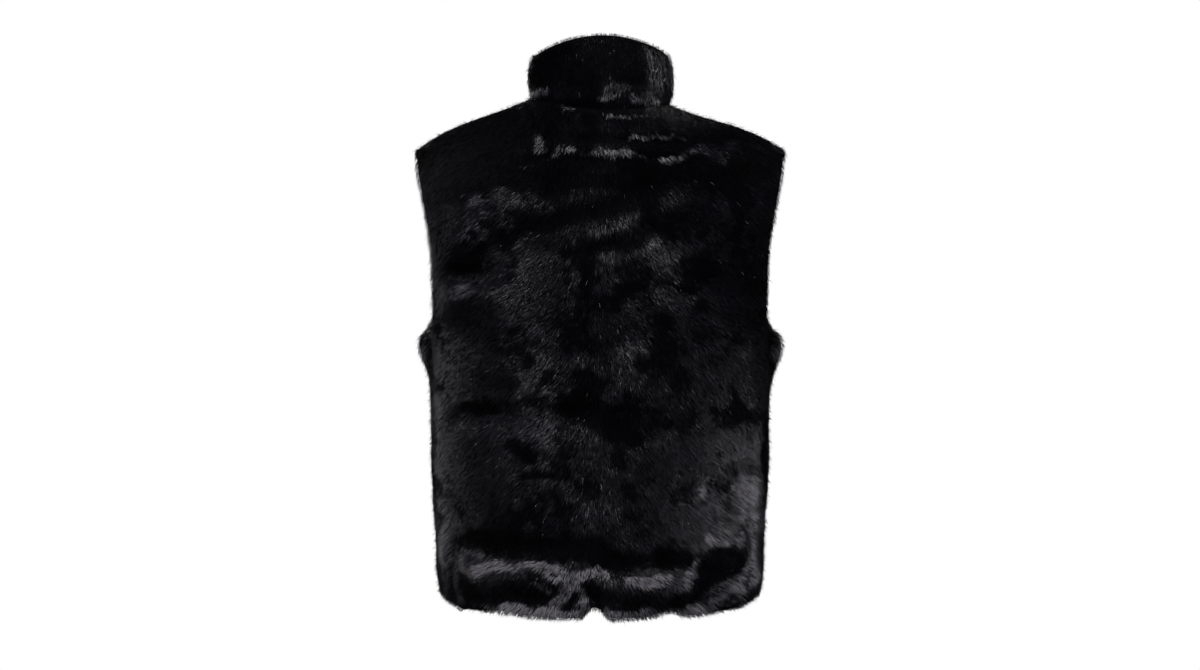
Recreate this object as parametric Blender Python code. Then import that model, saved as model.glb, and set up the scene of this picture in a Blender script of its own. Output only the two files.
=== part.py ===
"""Faux fur vest with a high stand collar, in the hollow form that it has when worn.

Metres, +Z up. The front faces -Y and the wearer's left is +X. The origin is where the
shoulders hold it, midway between the two points where shoulder seam and collar meet.
The pieces are the back, two fronts, the stand collar, and the zip with its slider and
pull. Each cloth piece is a wall from its backing out to the tips of its pile.
"""

import math
from collections import namedtuple

import bmesh
import bpy
import numpy as np

# Cloth and seams
BODY_WALL = 0.010  # backing and laid pile
COLLAR_WALL = 0.014  # the collar is two layers of the same cloth
SEAM_GAP = 0.0004  # between pieces that are sewn together
EDGE_ROUND = 0.006  # radius of the pile at a turned edge
EDGE_ROWS = (0.0017, 0.0052)  # where the rows next to a turned edge lie
EDGE_S = (0.0065, 0.0195)  # the same for columns, as a share of half a panel

# Grid of points
ROW_STEP = 0.0225
CAP_ROWS = 6  # between the last section and the top edge
COLLAR_ROW_STEP = 0.0150
NECK_COLUMNS = 7
SHOULDER_COLUMNS = 7
NECK_SHARE = 0.45  # share of half a panel's columns that ends at the neck

# Sections of the body below the armholes: the side seam's point, then the middle of back and front.
SideLevel = namedtuple("SideLevel", "edge_x edge_y edge_z back_y back_z front_y front_z")
SIDE_LEVELS = (
    SideLevel(0.194, 0.004, -0.590, 0.107, -0.616, -0.109, -0.606),  # hem
    SideLevel(0.197, 0.004, -0.562, 0.117, -0.583, -0.116, -0.574),  # roll of the turned hem
    SideLevel(0.198, 0.004, -0.522, 0.112, -0.535, -0.115, -0.528),
    SideLevel(0.203, 0.004, -0.462, 0.108, -0.466, -0.116, -0.462),
    SideLevel(0.204, 0.004, -0.392, 0.108, -0.393, -0.118, -0.392),
    SideLevel(0.204, 0.004, -0.330, 0.114, -0.330, -0.123, -0.330),
    SideLevel(0.203, 0.004, -0.282, 0.119, -0.276, -0.127, -0.278),  # underarm
)
# Sections above the underarm: the middle, the armhole's edge, and how far the section turns towards it.
ArmLevel = namedtuple("ArmLevel", "mid_y mid_z edge_x edge_y edge_z turn_deg")
BACK_LEVELS = (
    ArmLevel(0.121, -0.256, 0.202, 0.026, -0.267, 84),
    ArmLevel(0.122, -0.222, 0.202, 0.044, -0.236, 78),
    ArmLevel(0.120, -0.168, 0.204, 0.054, -0.178, 72),
    ArmLevel(0.111, -0.112, 0.214, 0.050, -0.120, 66),
)
FRONT_LEVELS = (
    ArmLevel(-0.128, -0.258, 0.202, -0.022, -0.268, 84),
    ArmLevel(-0.129, -0.228, 0.201, -0.043, -0.238, 78),
    ArmLevel(-0.126, -0.178, 0.204, -0.056, -0.180, 72),
    ArmLevel(-0.116, -0.132, 0.213, -0.052, -0.122, 66),
)
SIDE_TURN_DEG = 90
SECTION_FLATNESS = 2.5  # how slowly a section's height leaves that of its middle
BODY_MIDDLE_Z = -0.300
SEAM_TURN_REACH = 0.020  # how far above the underarm the side seam still turns the cloth

# Which way the cloth runs as it reaches the neck in the middle, and the shoulder seam
BACK_NECK_RUN = (0.0, -0.45, 0.89)
FRONT_NECK_RUN = (0.0, 0.45, 0.89)
SHOULDER_RUN_Y, SHOULDER_RUN_Z = 1.0, 0.12
CAP_FULLNESS = 1.1

# Rings of the collar, from its seam up: half width, depths and heights at back, side and front.
# The last value is how much a ring leans to one side, which the photo shows at the seam.
Ring = namedtuple("Ring", "half_x back_y front_y back_z side_z front_z lean")
COLLAR_RINGS = (
    Ring(0.0860, 0.0760, -0.0820, -0.014, 0.000, -0.052, 0.045),
    Ring(0.0885, 0.0775, -0.0850, 0.015, 0.018, -0.033, 0.030),
    Ring(0.0878, 0.0735, -0.0820, 0.044, 0.036, -0.010, 0.000),
    Ring(0.0840, 0.0670, -0.0760, 0.072, 0.053, 0.014, -0.020),
)
RING_MIDDLE_Y = -0.002

# Shoulder seam, from the collar to the armhole
TIP_X, TIP_Y, TIP_Z = 0.225, -0.003, -0.060
SHOULDER_ARCH, ARCH_OUTWARDS = 0.007, 1.8  # its height, and how far out it peaks
SHOULDER_WALL = 0.0108
NECK_WALL = 0.0150
NECK_WALL_DROP = 0.62  # how far the neck seam's wall runs down for each unit inwards
WALL_BLEND = 0.035

# Hem: where the edge is drawn up, how wide and how high
Scallop = namedtuple("Scallop", "x width rise")
BACK_SCALLOPS = (
    Scallop(0.006, 0.010, 0.014),
    Scallop(-0.081, 0.016, 0.006),
    Scallop(0.116, 0.024, 0.004),
)
FRONT_SCALLOPS = (
    Scallop(0.064, 0.022, 0.005),
    Scallop(-0.085, 0.020, 0.005),
    Scallop(0.140, 0.026, 0.004),
    Scallop(-0.146, 0.024, 0.004),
)
SCALLOP_REACH = 0.032  # how far up from the hem the cloth follows
SCALLOP_FLATNESS = 6  # how slowly they fade towards the side seams

# Largest folds: two ends, half width, and height, where less than 0 is a trough.
# They fade out from this share of half a panel to its side, and over this much below its top edge.
FOLD_FADE_S, FOLD_FADE_TOP = 0.90, 0.025
Fold = namedtuple("Fold", "x0 z0 x1 z1 half height")
BACK_FOLDS = (
    Fold(0.150, -0.192, -0.060, -0.112, 0.016, -0.0060),  # drag line up from the armhole
    Fold(0.150, -0.146, 0.080, -0.128, 0.022, 0.0050),
    Fold(-0.100, -0.135, -0.180, -0.150, 0.022, 0.0040),
    Fold(0.168, -0.208, 0.132, -0.212, 0.014, -0.0080),  # pinch under the armhole
    Fold(0.172, -0.234, 0.130, -0.236, 0.014, 0.0050),
    Fold(0.020, -0.372, -0.070, -0.392, 0.018, -0.0045),  # soft waist
    Fold(0.165, -0.378, 0.100, -0.380, 0.014, -0.0040),
    Fold(0.145, -0.532, 0.000, -0.524, 0.016, -0.0055),  # trough above the turned hem
    Fold(-0.010, -0.546, -0.100, -0.548, 0.015, -0.0055),
    Fold(0.145, -0.568, 0.040, -0.562, 0.013, 0.0050),  # roll of the hem
    Fold(-0.030, -0.575, -0.088, -0.575, 0.013, 0.0050),
    Fold(-0.128, -0.556, -0.112, -0.592, 0.013, -0.0060),
)
FRONT_FOLDS = (
    Fold(0.150, -0.200, 0.060, -0.130, 0.016, -0.0050),
    Fold(-0.160, -0.212, -0.070, -0.150, 0.016, -0.0050),
    Fold(0.150, -0.360, 0.070, -0.390, 0.016, -0.0040),
    Fold(-0.145, -0.400, -0.060, -0.420, 0.016, -0.0040),
    Fold(0.150, -0.528, 0.045, -0.520, 0.016, -0.0050),
    Fold(-0.155, -0.526, -0.045, -0.524, 0.016, -0.0050),
    Fold(0.145, -0.560, 0.050, -0.556, 0.013, 0.0045),
    Fold(-0.150, -0.558, -0.055, -0.562, 0.013, 0.0045),
)

# The fronts' underarm corners stand out past the back, one a little lower than the other.
Corner = namedtuple("Corner", "side z height up down")
UNDERARM_CORNERS = (
    Corner(1, -0.284, 0.021, 0.049, 0.052),
    Corner(-1, -0.291, 0.021, 0.052, 0.052),
)
CORNER_S, CORNER_S_HALF = 0.88, 0.08  # where across the front, and how far it spreads

# Front opening and zip
OPENING_HALF = 0.0063  # from the middle to each front edge
TAPE_BACK_DEPTH = 0.0087  # from the pile's surface down to the back of the tape
TAPE_HALF, TAPE_THICK = 0.0060, 0.0012
CHAIN_HALF, CHAIN_FOOT_HALF, CHAIN_THICK = 0.0023, 0.0028, 0.0024
ZIP_BOTTOM_MARGIN, ZIP_TOP_MARGIN = 0.005, 0.014
FIT = 0.0003  # between the zip's parts

# Slider: how far it reaches along the zip from its closed end, and its half widths at both ends
SLIDER_ABOVE, SLIDER_BELOW = 0.0040, 0.0086
SLIDER_TOP_HALF, SLIDER_BOTTOM_HALF = 0.0046, 0.0035
PLATE_THICK = 0.0012
ARCH_DOWN, ARCH_RADIUS, ARCH_WIRE = 0.0028, 0.0030, 0.0006
ARCH_FOOT = 0.0006  # how far its ends reach into the plate
ARCH_SIDES, ARCH_TURNS = 8, 10
PIN_HEIGHT = 0.0011  # the pull's pin above the slider's front plate
PULL_THICK = 0.0015
PULL_ROWS = (0.0007, -0.0007, -0.0048, -0.0085, -0.0230, -0.0290)  # along the pull from its pin
PULL_HALVES = (0.0030, 0.0031, 0.0033, 0.0034, 0.0040, 0.0026)
EYE_HALF_SHARE = 0.5  # half width of the pull's eye, as a share of its half width there

PILE_COLOUR = (0.012, 0.012, 0.014, 1.0)
TAPE_COLOUR = (0.010, 0.010, 0.011, 1.0)
METAL_COLOUR = (0.10, 0.10, 0.105, 1.0)
CLOTH_ROUGHNESS, METAL_ROUGHNESS = 0.7, 0.35


def smoothstep(value):
    value = np.clip(value, 0.0, 1.0)
    return value * value * (3.0 - 2.0 * value)


def unit(vectors):
    return vectors / np.linalg.norm(vectors, axis=-1, keepdims=True)


def edge_dip(distance):
    """How far the pile's surface has rounded in at this distance from a turned edge."""
    inside = np.clip(EDGE_ROUND - distance, 0, EDGE_ROUND)
    return EDGE_ROUND - np.sqrt(EDGE_ROUND**2 - inside**2)


def hermite(start, start_run, end, end_run, t):
    return (
        start * (2 * t**3 - 3 * t**2 + 1)
        + start_run * (t**3 - 2 * t**2 + t)
        + end * (3 * t**2 - 2 * t**3)
        + end_run * (t**3 - t**2)
    )


def through(levels, heights, wanted):
    """A smooth curve through the levels at their heights, read at the wanted heights."""
    heights, wanted = np.asarray(heights), np.asarray(wanted)
    steps = np.diff(heights)[:, None, None]
    slopes = np.diff(levels, axis=0) / steps
    runs = np.concatenate([slopes[:1], slopes])
    runs[1:-1] = (slopes[:-1] * steps[1:] + slopes[1:] * steps[:-1]) / (steps[:-1] + steps[1:])
    part = np.clip(np.searchsorted(heights, wanted, side="right") - 1, 0, len(steps) - 1)
    step = steps[part]
    t = (wanted - heights[part])[:, None, None] / step
    return hermite(levels[part], runs[part] * step, levels[part + 1], runs[part + 1] * step, t)


def normals_of(grid):
    """Unit normals of a grid of points, all on its outer side."""
    normal = unit(np.cross(np.gradient(grid, axis=1), np.gradient(grid, axis=0)))
    outwards = grid - np.array([0.0, 0.0, BODY_MIDDLE_Z])
    return normal * np.sign((normal * outwards).sum())


def fold_push(x, z, folds):
    """How far the folds push the cloth out at points seen at x and z."""
    push = np.zeros_like(x)
    for fold in folds:
        along_x, along_z = fold.x1 - fold.x0, fold.z1 - fold.z0
        length = max(along_x**2 + along_z**2, 1e-9)
        share = np.clip(((x - fold.x0) * along_x + (z - fold.z0) * along_z) / length, 0, 1)
        away = np.hypot(x - fold.x0 - share * along_x, z - fold.z0 - share * along_z)
        push += fold.height * np.exp(-((away / fold.half) ** 2))
    return push


def ring_points(ring, angle):
    """Points of a collar ring. The angle is 0 at the back, pi at the front, below 0 on the -X side."""
    turn = np.cos(angle)
    back, front = np.clip(turn, 0, 1), np.clip(-turn, 0, 1)
    x = ring.half_x * np.sin(angle)
    y = RING_MIDDLE_Y + (ring.back_y - RING_MIDDLE_Y) * back + (ring.front_y - RING_MIDDLE_Y) * front
    z = ring.side_z + (ring.back_z - ring.side_z) * back**2 + (ring.front_z - ring.side_z) * front**1.5
    return np.stack([x, y, z + ring.lean * x], axis=-1)


def front_angle():
    """The ring angle of the front edges."""
    return math.pi - math.asin(OPENING_HALF / COLLAR_RINGS[0].half_x)


def keep_opening(points, side):
    """Keeps points at the front opening clear of the zip."""
    points[..., 0] = side * np.maximum(side * points[..., 0], OPENING_HALF)


def neck_seam(angle):
    """Outer and inner points of the seam between the body and the collar."""
    outer = ring_points(COLLAR_RINGS[0], angle)
    drop = np.full_like(angle, -NECK_WALL_DROP)
    inwards = unit(np.stack([-np.sin(angle), -np.cos(angle), drop], axis=-1))
    dip = edge_dip((front_angle() - np.abs(angle)) * COLLAR_RINGS[0].half_x)[:, None]
    inner = outer + inwards * NECK_WALL
    outer = outer + inwards * dip
    for side in (-1, 1):
        at_front = side * angle > math.pi / 2
        for points in (outer, inner):
            clear = points[at_front]
            keep_opening(clear, side)
            points[at_front] = clear
    return outer, inner


def shoulder_seam(share, side):
    """Outer and inner points of a shoulder seam, from the neck at 0 to the armhole at 1."""
    neck_outer, neck_inner = (points[0] for points in neck_seam(np.array([side * math.pi / 2])))
    run = np.array([side * TIP_X, TIP_Y, TIP_Z]) - neck_outer
    outer = neck_outer + share[:, None] * run
    outer[:, 2] += SHOULDER_ARCH * np.sin(math.pi * share**ARCH_OUTWARDS)
    down = unit(np.array([-side * abs(run[2]), 0.0, -abs(run[0])])) * SHOULDER_WALL
    length = np.linalg.norm(run)
    blend = smoothstep(share * length / WALL_BLEND)[:, None]
    reach = (neck_inner - neck_outer) * (1 - blend) + down * blend
    dip = edge_dip((1 - share) * length)[:, None] / SHOULDER_WALL
    return outer + reach * dip, outer + reach


def panel_top(s, is_back):
    """Outer and inner points of a panel's top edge: along the neck, then out along the shoulder."""
    outer, inner = np.empty((len(s), 3)), np.empty((len(s), 3))
    at_neck = np.abs(s) <= NECK_SHARE + 1e-9
    share = s[at_neck] / NECK_SHARE
    if is_back:
        angle = share * math.pi / 2
    else:
        side = np.sign(s.sum())
        angle = side * (front_angle() + (math.pi / 2 - front_angle()) * np.abs(share))
    outer[at_neck], inner[at_neck] = neck_seam(angle)
    for side in (-1, 1):
        on = ~at_neck & (np.sign(s) == side)
        if on.any():
            along = (np.abs(s[on]) - NECK_SHARE) / (1 - NECK_SHARE)
            outer[on], inner[on] = shoulder_seam(along, side)
    return outer, inner


def half_columns(has_front_edge):
    """s from a panel's middle or front edge at 0 to its side at 1."""
    start = [0.0, *EDGE_S] if has_front_edge else [0.0]
    neck = np.linspace(0, NECK_SHARE, NECK_COLUMNS + 1)[1:]
    shoulder = np.linspace(NECK_SHARE, 1, SHOULDER_COLUMNS + 1)[1:-1]
    return np.array([*start, *neck, *shoulder, 1 - EDGE_S[1], 1 - EDGE_S[0], 1.0])


def section(mid_y, mid_z, edge_x, edge_y, edge_z, turn_deg, s, start_x):
    """A section across a panel, for s from 0 in the middle to 1 or -1 at the edge."""
    turn = math.radians(turn_deg)
    side = np.sign(s.sum()) if start_x else 1.0
    x = side * start_x + (edge_x - start_x) * np.sin(s * turn) / math.sin(turn)
    y = edge_y + (mid_y - edge_y) * (np.cos(s * turn) - math.cos(turn)) / (1 - math.cos(turn))
    z = mid_z + (edge_z - mid_z) * np.abs(s) ** SECTION_FLATNESS
    return np.stack([x, y, z], axis=-1)


def side_heights():
    """How far up from the hem each section below the armholes lies."""
    return np.array([level.edge_z - SIDE_LEVELS[0].edge_z for level in SIDE_LEVELS])


def side_rows():
    """Row heights from the hem to the underarm, close together at the turned hem."""
    underarm = side_heights()[-1]
    return np.array([0.0, *EDGE_ROWS, *np.linspace(0, underarm, round(underarm / ROW_STEP) + 1)[1:]])


def side_seam(side):
    """Outer and inner points of a side seam, from the hem to the underarm."""
    levels = np.array([[(level.edge_x, level.edge_y, level.edge_z)] for level in SIDE_LEVELS])
    outer = through(levels, side_heights(), side_rows())[:, 0]
    inner = outer - [BODY_WALL, 0, 0]
    outer[:, 0] -= edge_dip(side_rows())
    return outer * [side, 1, 1], inner * [side, 1, 1]


def panel_surface(s, is_back):
    """A panel's plain surface as rows of points, and the rows' heights above the hem."""
    start_x = 0.0 if is_back else OPENING_HALF
    levels = []
    for level in SIDE_LEVELS:
        middle = (level.back_y, level.back_z) if is_back else (level.front_y, level.front_z)
        edge = (level.edge_x, level.edge_y, level.edge_z)
        levels.append(section(*middle, *edge, SIDE_TURN_DEG, s, start_x))
    arm_levels = BACK_LEVELS if is_back else FRONT_LEVELS
    for level in arm_levels:
        levels.append(section(*level, s, start_x))

    rises = np.diff([SIDE_LEVELS[-1].edge_z, *(level.edge_z for level in arm_levels)])
    underarm = side_heights()[-1]
    heights = np.concatenate([side_heights(), underarm + np.cumsum(rises)])
    arm_rows = np.linspace(underarm, heights[-1], round((heights[-1] - underarm) / ROW_STEP) + 1)[1:]
    rows = np.concatenate([side_rows(), arm_rows])
    body = through(np.stack(levels), heights, rows)

    top, _ = panel_top(s, is_back)
    base = body[-1]
    chord = np.linalg.norm(top - base, axis=1, keepdims=True) * CAP_FULLNESS
    lean = smoothstep(np.abs(s) / NECK_SHARE)[:, None]
    neck_run = np.array(BACK_NECK_RUN if is_back else FRONT_NECK_RUN)
    shoulder_run = np.array([0.0, -SHOULDER_RUN_Y if is_back else SHOULDER_RUN_Y, SHOULDER_RUN_Z])
    end_run = unit(neck_run * (1 - lean) + shoulder_run * lean) * chord
    start_run = unit(levels[-1] - levels[-2]) * chord
    t = np.linspace(0, 1, CAP_ROWS + 1)[1:]
    cap = np.stack([hermite(base, start_run, top, end_run, value) for value in t])
    cap_rows = rows[-1] + t * np.linalg.norm(top - base, axis=1).mean()
    return np.concatenate([body, cap]), np.concatenate([rows, cap_rows])


def underarm_push(grid, s):
    """How far a front's corner stands out at the underarm."""
    push = np.zeros(grid.shape[:2])
    for corner in UNDERARM_CORNERS:
        rise = grid[..., 2] - corner.z
        reach = np.where(rise > 0, corner.up, corner.down)
        across = np.exp(-(((np.abs(s) - CORNER_S) / CORNER_S_HALF) ** 2)) * (np.sign(s) == corner.side)
        push += corner.height * np.exp(-((rise / reach) ** 2)) * across
    return push


def distances_along(grid):
    """For each point of a grid, how far along its row it lies from the first and from the last column."""
    steps = np.linalg.norm(np.diff(grid, axis=1), axis=2)
    first = np.concatenate([np.zeros((len(grid), 1)), np.cumsum(steps, axis=1)], axis=1)
    return first, first[:, -1:] - first


def panel_walls(s, is_back):
    """Outer and inner grids of a panel, with its folds, turned edges and seams."""
    grid, rows = panel_surface(s, is_back)
    underarm = side_heights()[-1]
    scallops = BACK_SCALLOPS if is_back else FRONT_SCALLOPS
    drawn_up = sum(cut.rise * np.exp(-(((grid[0, :, 0] - cut.x) / cut.width) ** 2)) for cut in scallops)
    fade = 1 - smoothstep(rows / SCALLOP_REACH)
    grid[..., 2] += fade[:, None] * drawn_up * (1 - np.abs(s) ** SCALLOP_FLATNESS)

    push = fold_push(grid[..., 0], grid[..., 2], BACK_FOLDS if is_back else FRONT_FOLDS)
    if not is_back:
        push += underarm_push(grid, s)
    off_side = 1 - smoothstep((np.abs(s) - FOLD_FADE_S) / (1 - FOLD_FADE_S))
    off_top = smoothstep((rows[-1] - rows) / FOLD_FADE_TOP)
    grid = grid + normals_of(grid) * (push * off_side * off_top[:, None])[..., None]

    from_first, from_last = distances_along(grid)
    above = smoothstep((rows - underarm) / SEAM_TURN_REACH)[:, None]
    to_seam = (1 - above) * (1 - off_side)
    sideways = np.sign(s)[:, None] * np.array([1.0, 0.0, 0.0])
    normal = normals_of(grid)
    normal = unit(normal + (sideways - normal) * to_seam[..., None])
    inner = grid - normal * BODY_WALL
    dip = np.maximum(edge_dip(rows)[:, None], edge_dip(from_last) * above)
    dip = np.maximum(dip, edge_dip(from_first) * (above if is_back else 1.0))
    outer = grid - normal * dip[..., None]

    seam_rows = len(side_rows())
    for column in (0, -1):
        if abs(s[column]) == 1:
            outer[:seam_rows, column], inner[:seam_rows, column] = side_seam(np.sign(s[column]))
    outer[-1], inner[-1] = panel_top(s, is_back)
    for walls in (outer, inner):
        if not is_back:
            keep_opening(walls, np.sign(s.sum()))
            walls[:, 0, 0] = np.sign(s.sum()) * OPENING_HALF
        set_apart(walls, s, 1 if is_back else -1)
    return outer, inner


def set_apart(walls, s, way_y):
    """Moves a panel's sewn edges half a gap away from the pieces that they meet."""
    half = SEAM_GAP / 2
    sides = np.abs(s) == 1
    walls[:-1, sides, 1] += way_y * half
    walls[-1, np.abs(s) > NECK_SHARE - 1e-9, 1] += way_y * half
    walls[-1, np.abs(s) < NECK_SHARE + 1e-9, 2] -= half


def collar_angles():
    """The collar's columns: the neck columns of the back and of both fronts."""
    back = half_columns(False)
    front = half_columns(True)
    back = back[back <= NECK_SHARE + 1e-9] / NECK_SHARE * math.pi / 2
    front = front[front <= NECK_SHARE + 1e-9] / NECK_SHARE
    front = front_angle() + (math.pi / 2 - front_angle()) * front
    half = np.concatenate([back, front[::-1][1:]])
    return np.concatenate([-half[::-1], half[1:]])


def collar_surface():
    """The collar's plain outer surface, and how far up each row lies."""
    angles = collar_angles()
    heights = [ring.back_z - COLLAR_RINGS[0].back_z for ring in COLLAR_RINGS]
    top = heights[-1]
    even = np.linspace(0, top, round(top / COLLAR_ROW_STEP) + 1)[:-1]
    rows = np.array([*even, top - EDGE_ROWS[1], top - EDGE_ROWS[0], top])
    levels = np.stack([ring_points(ring, angles) for ring in COLLAR_RINGS])
    return through(levels, heights, rows), rows


def collar_walls():
    """Outer and inner grids of the collar, which has pile on both faces."""
    grid, rows = collar_surface()
    angles = collar_angles()
    normal = unit(np.cross(np.gradient(grid, axis=1), np.gradient(grid, axis=0)))
    outwards = grid - np.array([0.0, RING_MIDDLE_Y, 0.0])
    normal *= np.sign((normal * outwards).sum())
    from_first, from_last = distances_along(grid)
    to_top = edge_dip(rows[-1] - rows)[:, None]
    outer_dip = np.maximum(to_top, edge_dip(np.minimum(from_first, from_last)))
    outer = grid - normal * outer_dip[..., None]
    inner = grid - normal * (COLLAR_WALL - to_top)[..., None]
    outer[0], inner[0] = neck_seam(angles)
    for walls in (outer, inner):
        for side, column in ((-1, 0), (1, -1)):
            at_front = side * angles > math.pi / 2
            clear = walls[:, at_front]
            keep_opening(clear, side)
            walls[:, at_front] = clear
            walls[:, column, 0] = side * OPENING_HALF
        walls[0, :, 2] += SEAM_GAP / 2
    return outer, inner


def add_object(name, vertices, faces, colour, collection):
    """A named solid with its own material."""
    mesh = bpy.data.meshes.new(name)
    mesh.from_pydata([tuple(vertex) for vertex in vertices], [], faces)
    work = bmesh.new()
    work.from_mesh(mesh)
    bmesh.ops.recalc_face_normals(work, faces=work.faces)
    work.to_mesh(mesh)
    work.free()
    material = bpy.data.materials.new(name)
    material.use_nodes = True
    shader = material.node_tree.nodes["Principled BSDF"]
    shader.inputs["Base Color"].default_value = colour
    is_metal = colour == METAL_COLOUR
    shader.inputs["Roughness"].default_value = METAL_ROUGHNESS if is_metal else CLOTH_ROUGHNESS
    shader.inputs["Metallic"].default_value = 1.0 if is_metal else 0.0
    mesh.materials.append(material)
    solid = bpy.data.objects.new(name, mesh)
    collection.objects.link(solid)
    return solid


def wall_faces(outer):
    """Faces of a closed wall: outer grid, inner grid, and the strips along its four edges."""
    row_count, column_count = outer.shape[:2]
    inner_start = row_count * column_count
    # Strips that meet at a seam are split the same way, by this measure of their corners.
    measure = (np.abs(outer[..., 0]) + outer[..., 2]).ravel()

    def at(row, column, layer):
        return row * column_count + column + layer * inner_start

    faces = []
    for row in range(row_count - 1):
        for column in range(column_count - 1):
            for layer in (0, 1):
                faces.append((at(row, column, layer), at(row, column + 1, layer),
                              at(row + 1, column + 1, layer), at(row + 1, column, layer)))
    pairs = [(at(row, column, 0), at(row, column + 1, 0))
             for row in (0, row_count - 1) for column in range(column_count - 1)]
    pairs += [(at(row, column, 0), at(row + 1, column, 0))
              for column in (0, column_count - 1) for row in range(row_count - 1)]
    for low, high in pairs:
        if measure[low] > measure[high]:
            low, high = high, low
        faces.append((low, high, low + inner_start))
        faces.append((high, high + inner_start, low + inner_start))
    return faces


def add_wall(name, outer, inner, collection):
    vertices = np.concatenate([outer.reshape(-1, 3), inner.reshape(-1, 3)])
    return add_object(name, vertices, wall_faces(outer), PILE_COLOUR, collection)


def zip_path():
    """The line of the front edges from hem to collar top: y and z, with unit runs and outward normals."""
    body, _ = panel_surface(half_columns(True), False)
    collar, _ = collar_surface()
    line = np.concatenate([body[:, 0, 1:], collar[1:, -1, 1:]])
    length = np.concatenate([[0], np.cumsum(np.linalg.norm(np.diff(line, axis=0), axis=1))])
    count = round(length[-1] / ROW_STEP)
    wanted = np.linspace(ZIP_BOTTOM_MARGIN, length[-1] - ZIP_TOP_MARGIN, count)
    line = np.stack([np.interp(wanted, length, line[:, 0]), np.interp(wanted, length, line[:, 1])], axis=1)
    run = unit(np.gradient(line, axis=0))
    return line, run, np.stack([-run[:, 1], run[:, 0]], axis=1)


def place(x, up, out, origin, run, normal):
    """World points from a place across, along and out of the zip at one point of its line."""
    y = origin[0] + up * run[0] + out * normal[0]
    z = origin[1] + up * run[1] + out * normal[1]
    return (x, y, z)


def add_zip(collection):
    """The closed zip: tape with its chain, as one long strip."""
    line, run, normal = zip_path()
    tape_back, tape_front = -TAPE_BACK_DEPTH, -TAPE_BACK_DEPTH + TAPE_THICK
    chain_front = -TAPE_BACK_DEPTH + CHAIN_THICK
    outline = (
        (-TAPE_HALF, tape_back), (TAPE_HALF, tape_back), (TAPE_HALF, tape_front),
        (CHAIN_FOOT_HALF, tape_front), (CHAIN_HALF, chain_front),
        (-CHAIN_HALF, chain_front), (-CHAIN_FOOT_HALF, tape_front), (-TAPE_HALF, tape_front),
    )
    vertices = [place(x, 0, out, *frame) for frame in zip(line, run, normal) for x, out in outline]
    size = len(outline)
    faces = [tuple(range(size)), tuple(len(vertices) - size + corner for corner in range(size))]
    for start in range(0, len(vertices) - size, size):
        for corner in range(size):
            following = (corner + 1) % size
            faces.append((start + corner, start + following, start + size + following, start + size + corner))
    return add_object("zip", vertices, faces, TAPE_COLOUR, collection)


def slider_frame():
    """The place of the slider: the closed end of the zip, with its run and normal."""
    line, run, normal = zip_path()
    return line[-1], run[-1], normal[-1]


def plate_front():
    """How far out of the pile's surface the slider's front plate reaches: less than 0, as it lies in."""
    return -TAPE_BACK_DEPTH + CHAIN_THICK + FIT + PLATE_THICK


def add_slider(collection):
    """The slider: front and back plates joined above the zip's end, with an arch for the pull."""
    frame = slider_frame()
    front = plate_front()
    back = -TAPE_BACK_DEPTH - FIT - PLATE_THICK
    outline = (
        (-SLIDER_BELOW, front), (SLIDER_ABOVE, front), (SLIDER_ABOVE, back), (-SLIDER_BELOW, back),
        (-SLIDER_BELOW, back + PLATE_THICK), (FIT, back + PLATE_THICK),
        (FIT, front - PLATE_THICK), (-SLIDER_BELOW, front - PLATE_THICK),
    )
    vertices = []
    for side in (-1, 1):
        for up, out in outline:
            share = (up + SLIDER_BELOW) / (SLIDER_ABOVE + SLIDER_BELOW)
            half = SLIDER_BOTTOM_HALF + (SLIDER_TOP_HALF - SLIDER_BOTTOM_HALF) * share
            vertices.append(place(side * half, up, out, *frame))
    size = len(outline)
    # Each side face is three quads: front plate, joining block and back plate.
    caps = ((0, 1, 6, 7), (1, 2, 5, 6), (2, 3, 4, 5))
    faces = [tuple(corner + side * size for corner in cap) for side in (0, 1) for cap in caps]
    for corner in range(size):
        following = (corner + 1) % size
        faces.append((corner, following, following + size, corner + size))
    body = add_object("zip_slider", vertices, faces, METAL_COLOUR, collection)

    arch = []
    for step in range(ARCH_TURNS + 1):
        turn = math.pi * step / ARCH_TURNS
        foot = -ARCH_FOOT if step in (0, ARCH_TURNS) else 0.0
        for part in range(ARCH_SIDES):
            around = 2 * math.pi * (part + 0.5) / ARCH_SIDES
            reach = ARCH_RADIUS + ARCH_WIRE * math.cos(around)
            up = -ARCH_DOWN + reach * math.cos(turn)
            out = front + foot + reach * math.sin(turn)
            arch.append(place(ARCH_WIRE * math.sin(around), up, out, *frame))
    last = ARCH_TURNS * ARCH_SIDES
    arch_faces = [tuple(range(ARCH_SIDES)), tuple(last + part for part in range(ARCH_SIDES))]
    for start in range(0, last, ARCH_SIDES):
        for part in range(ARCH_SIDES):
            low, high = start + part, start + (part + 1) % ARCH_SIDES
            arch_faces.append((low, high, high + ARCH_SIDES, low + ARCH_SIDES))
    join_solid(body, add_object("arch", arch, arch_faces, METAL_COLOUR, collection))
    return body


def join_solid(body, other):
    """Joins another solid to this one, as one closed body."""
    union = body.modifiers.new("union", "BOOLEAN")
    union.operation = "UNION"
    union.solver = "EXACT"
    union.object = other
    graph = bpy.context.evaluated_depsgraph_get()
    joined = bpy.data.meshes.new_from_object(body.evaluated_get(graph))
    material = body.data.materials[0]
    body.modifiers.remove(union)
    body.data = joined
    joined.materials.clear()
    joined.materials.append(material)
    for polygon in joined.polygons:
        polygon.material_index = 0
    bpy.data.objects.remove(other)


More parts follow.
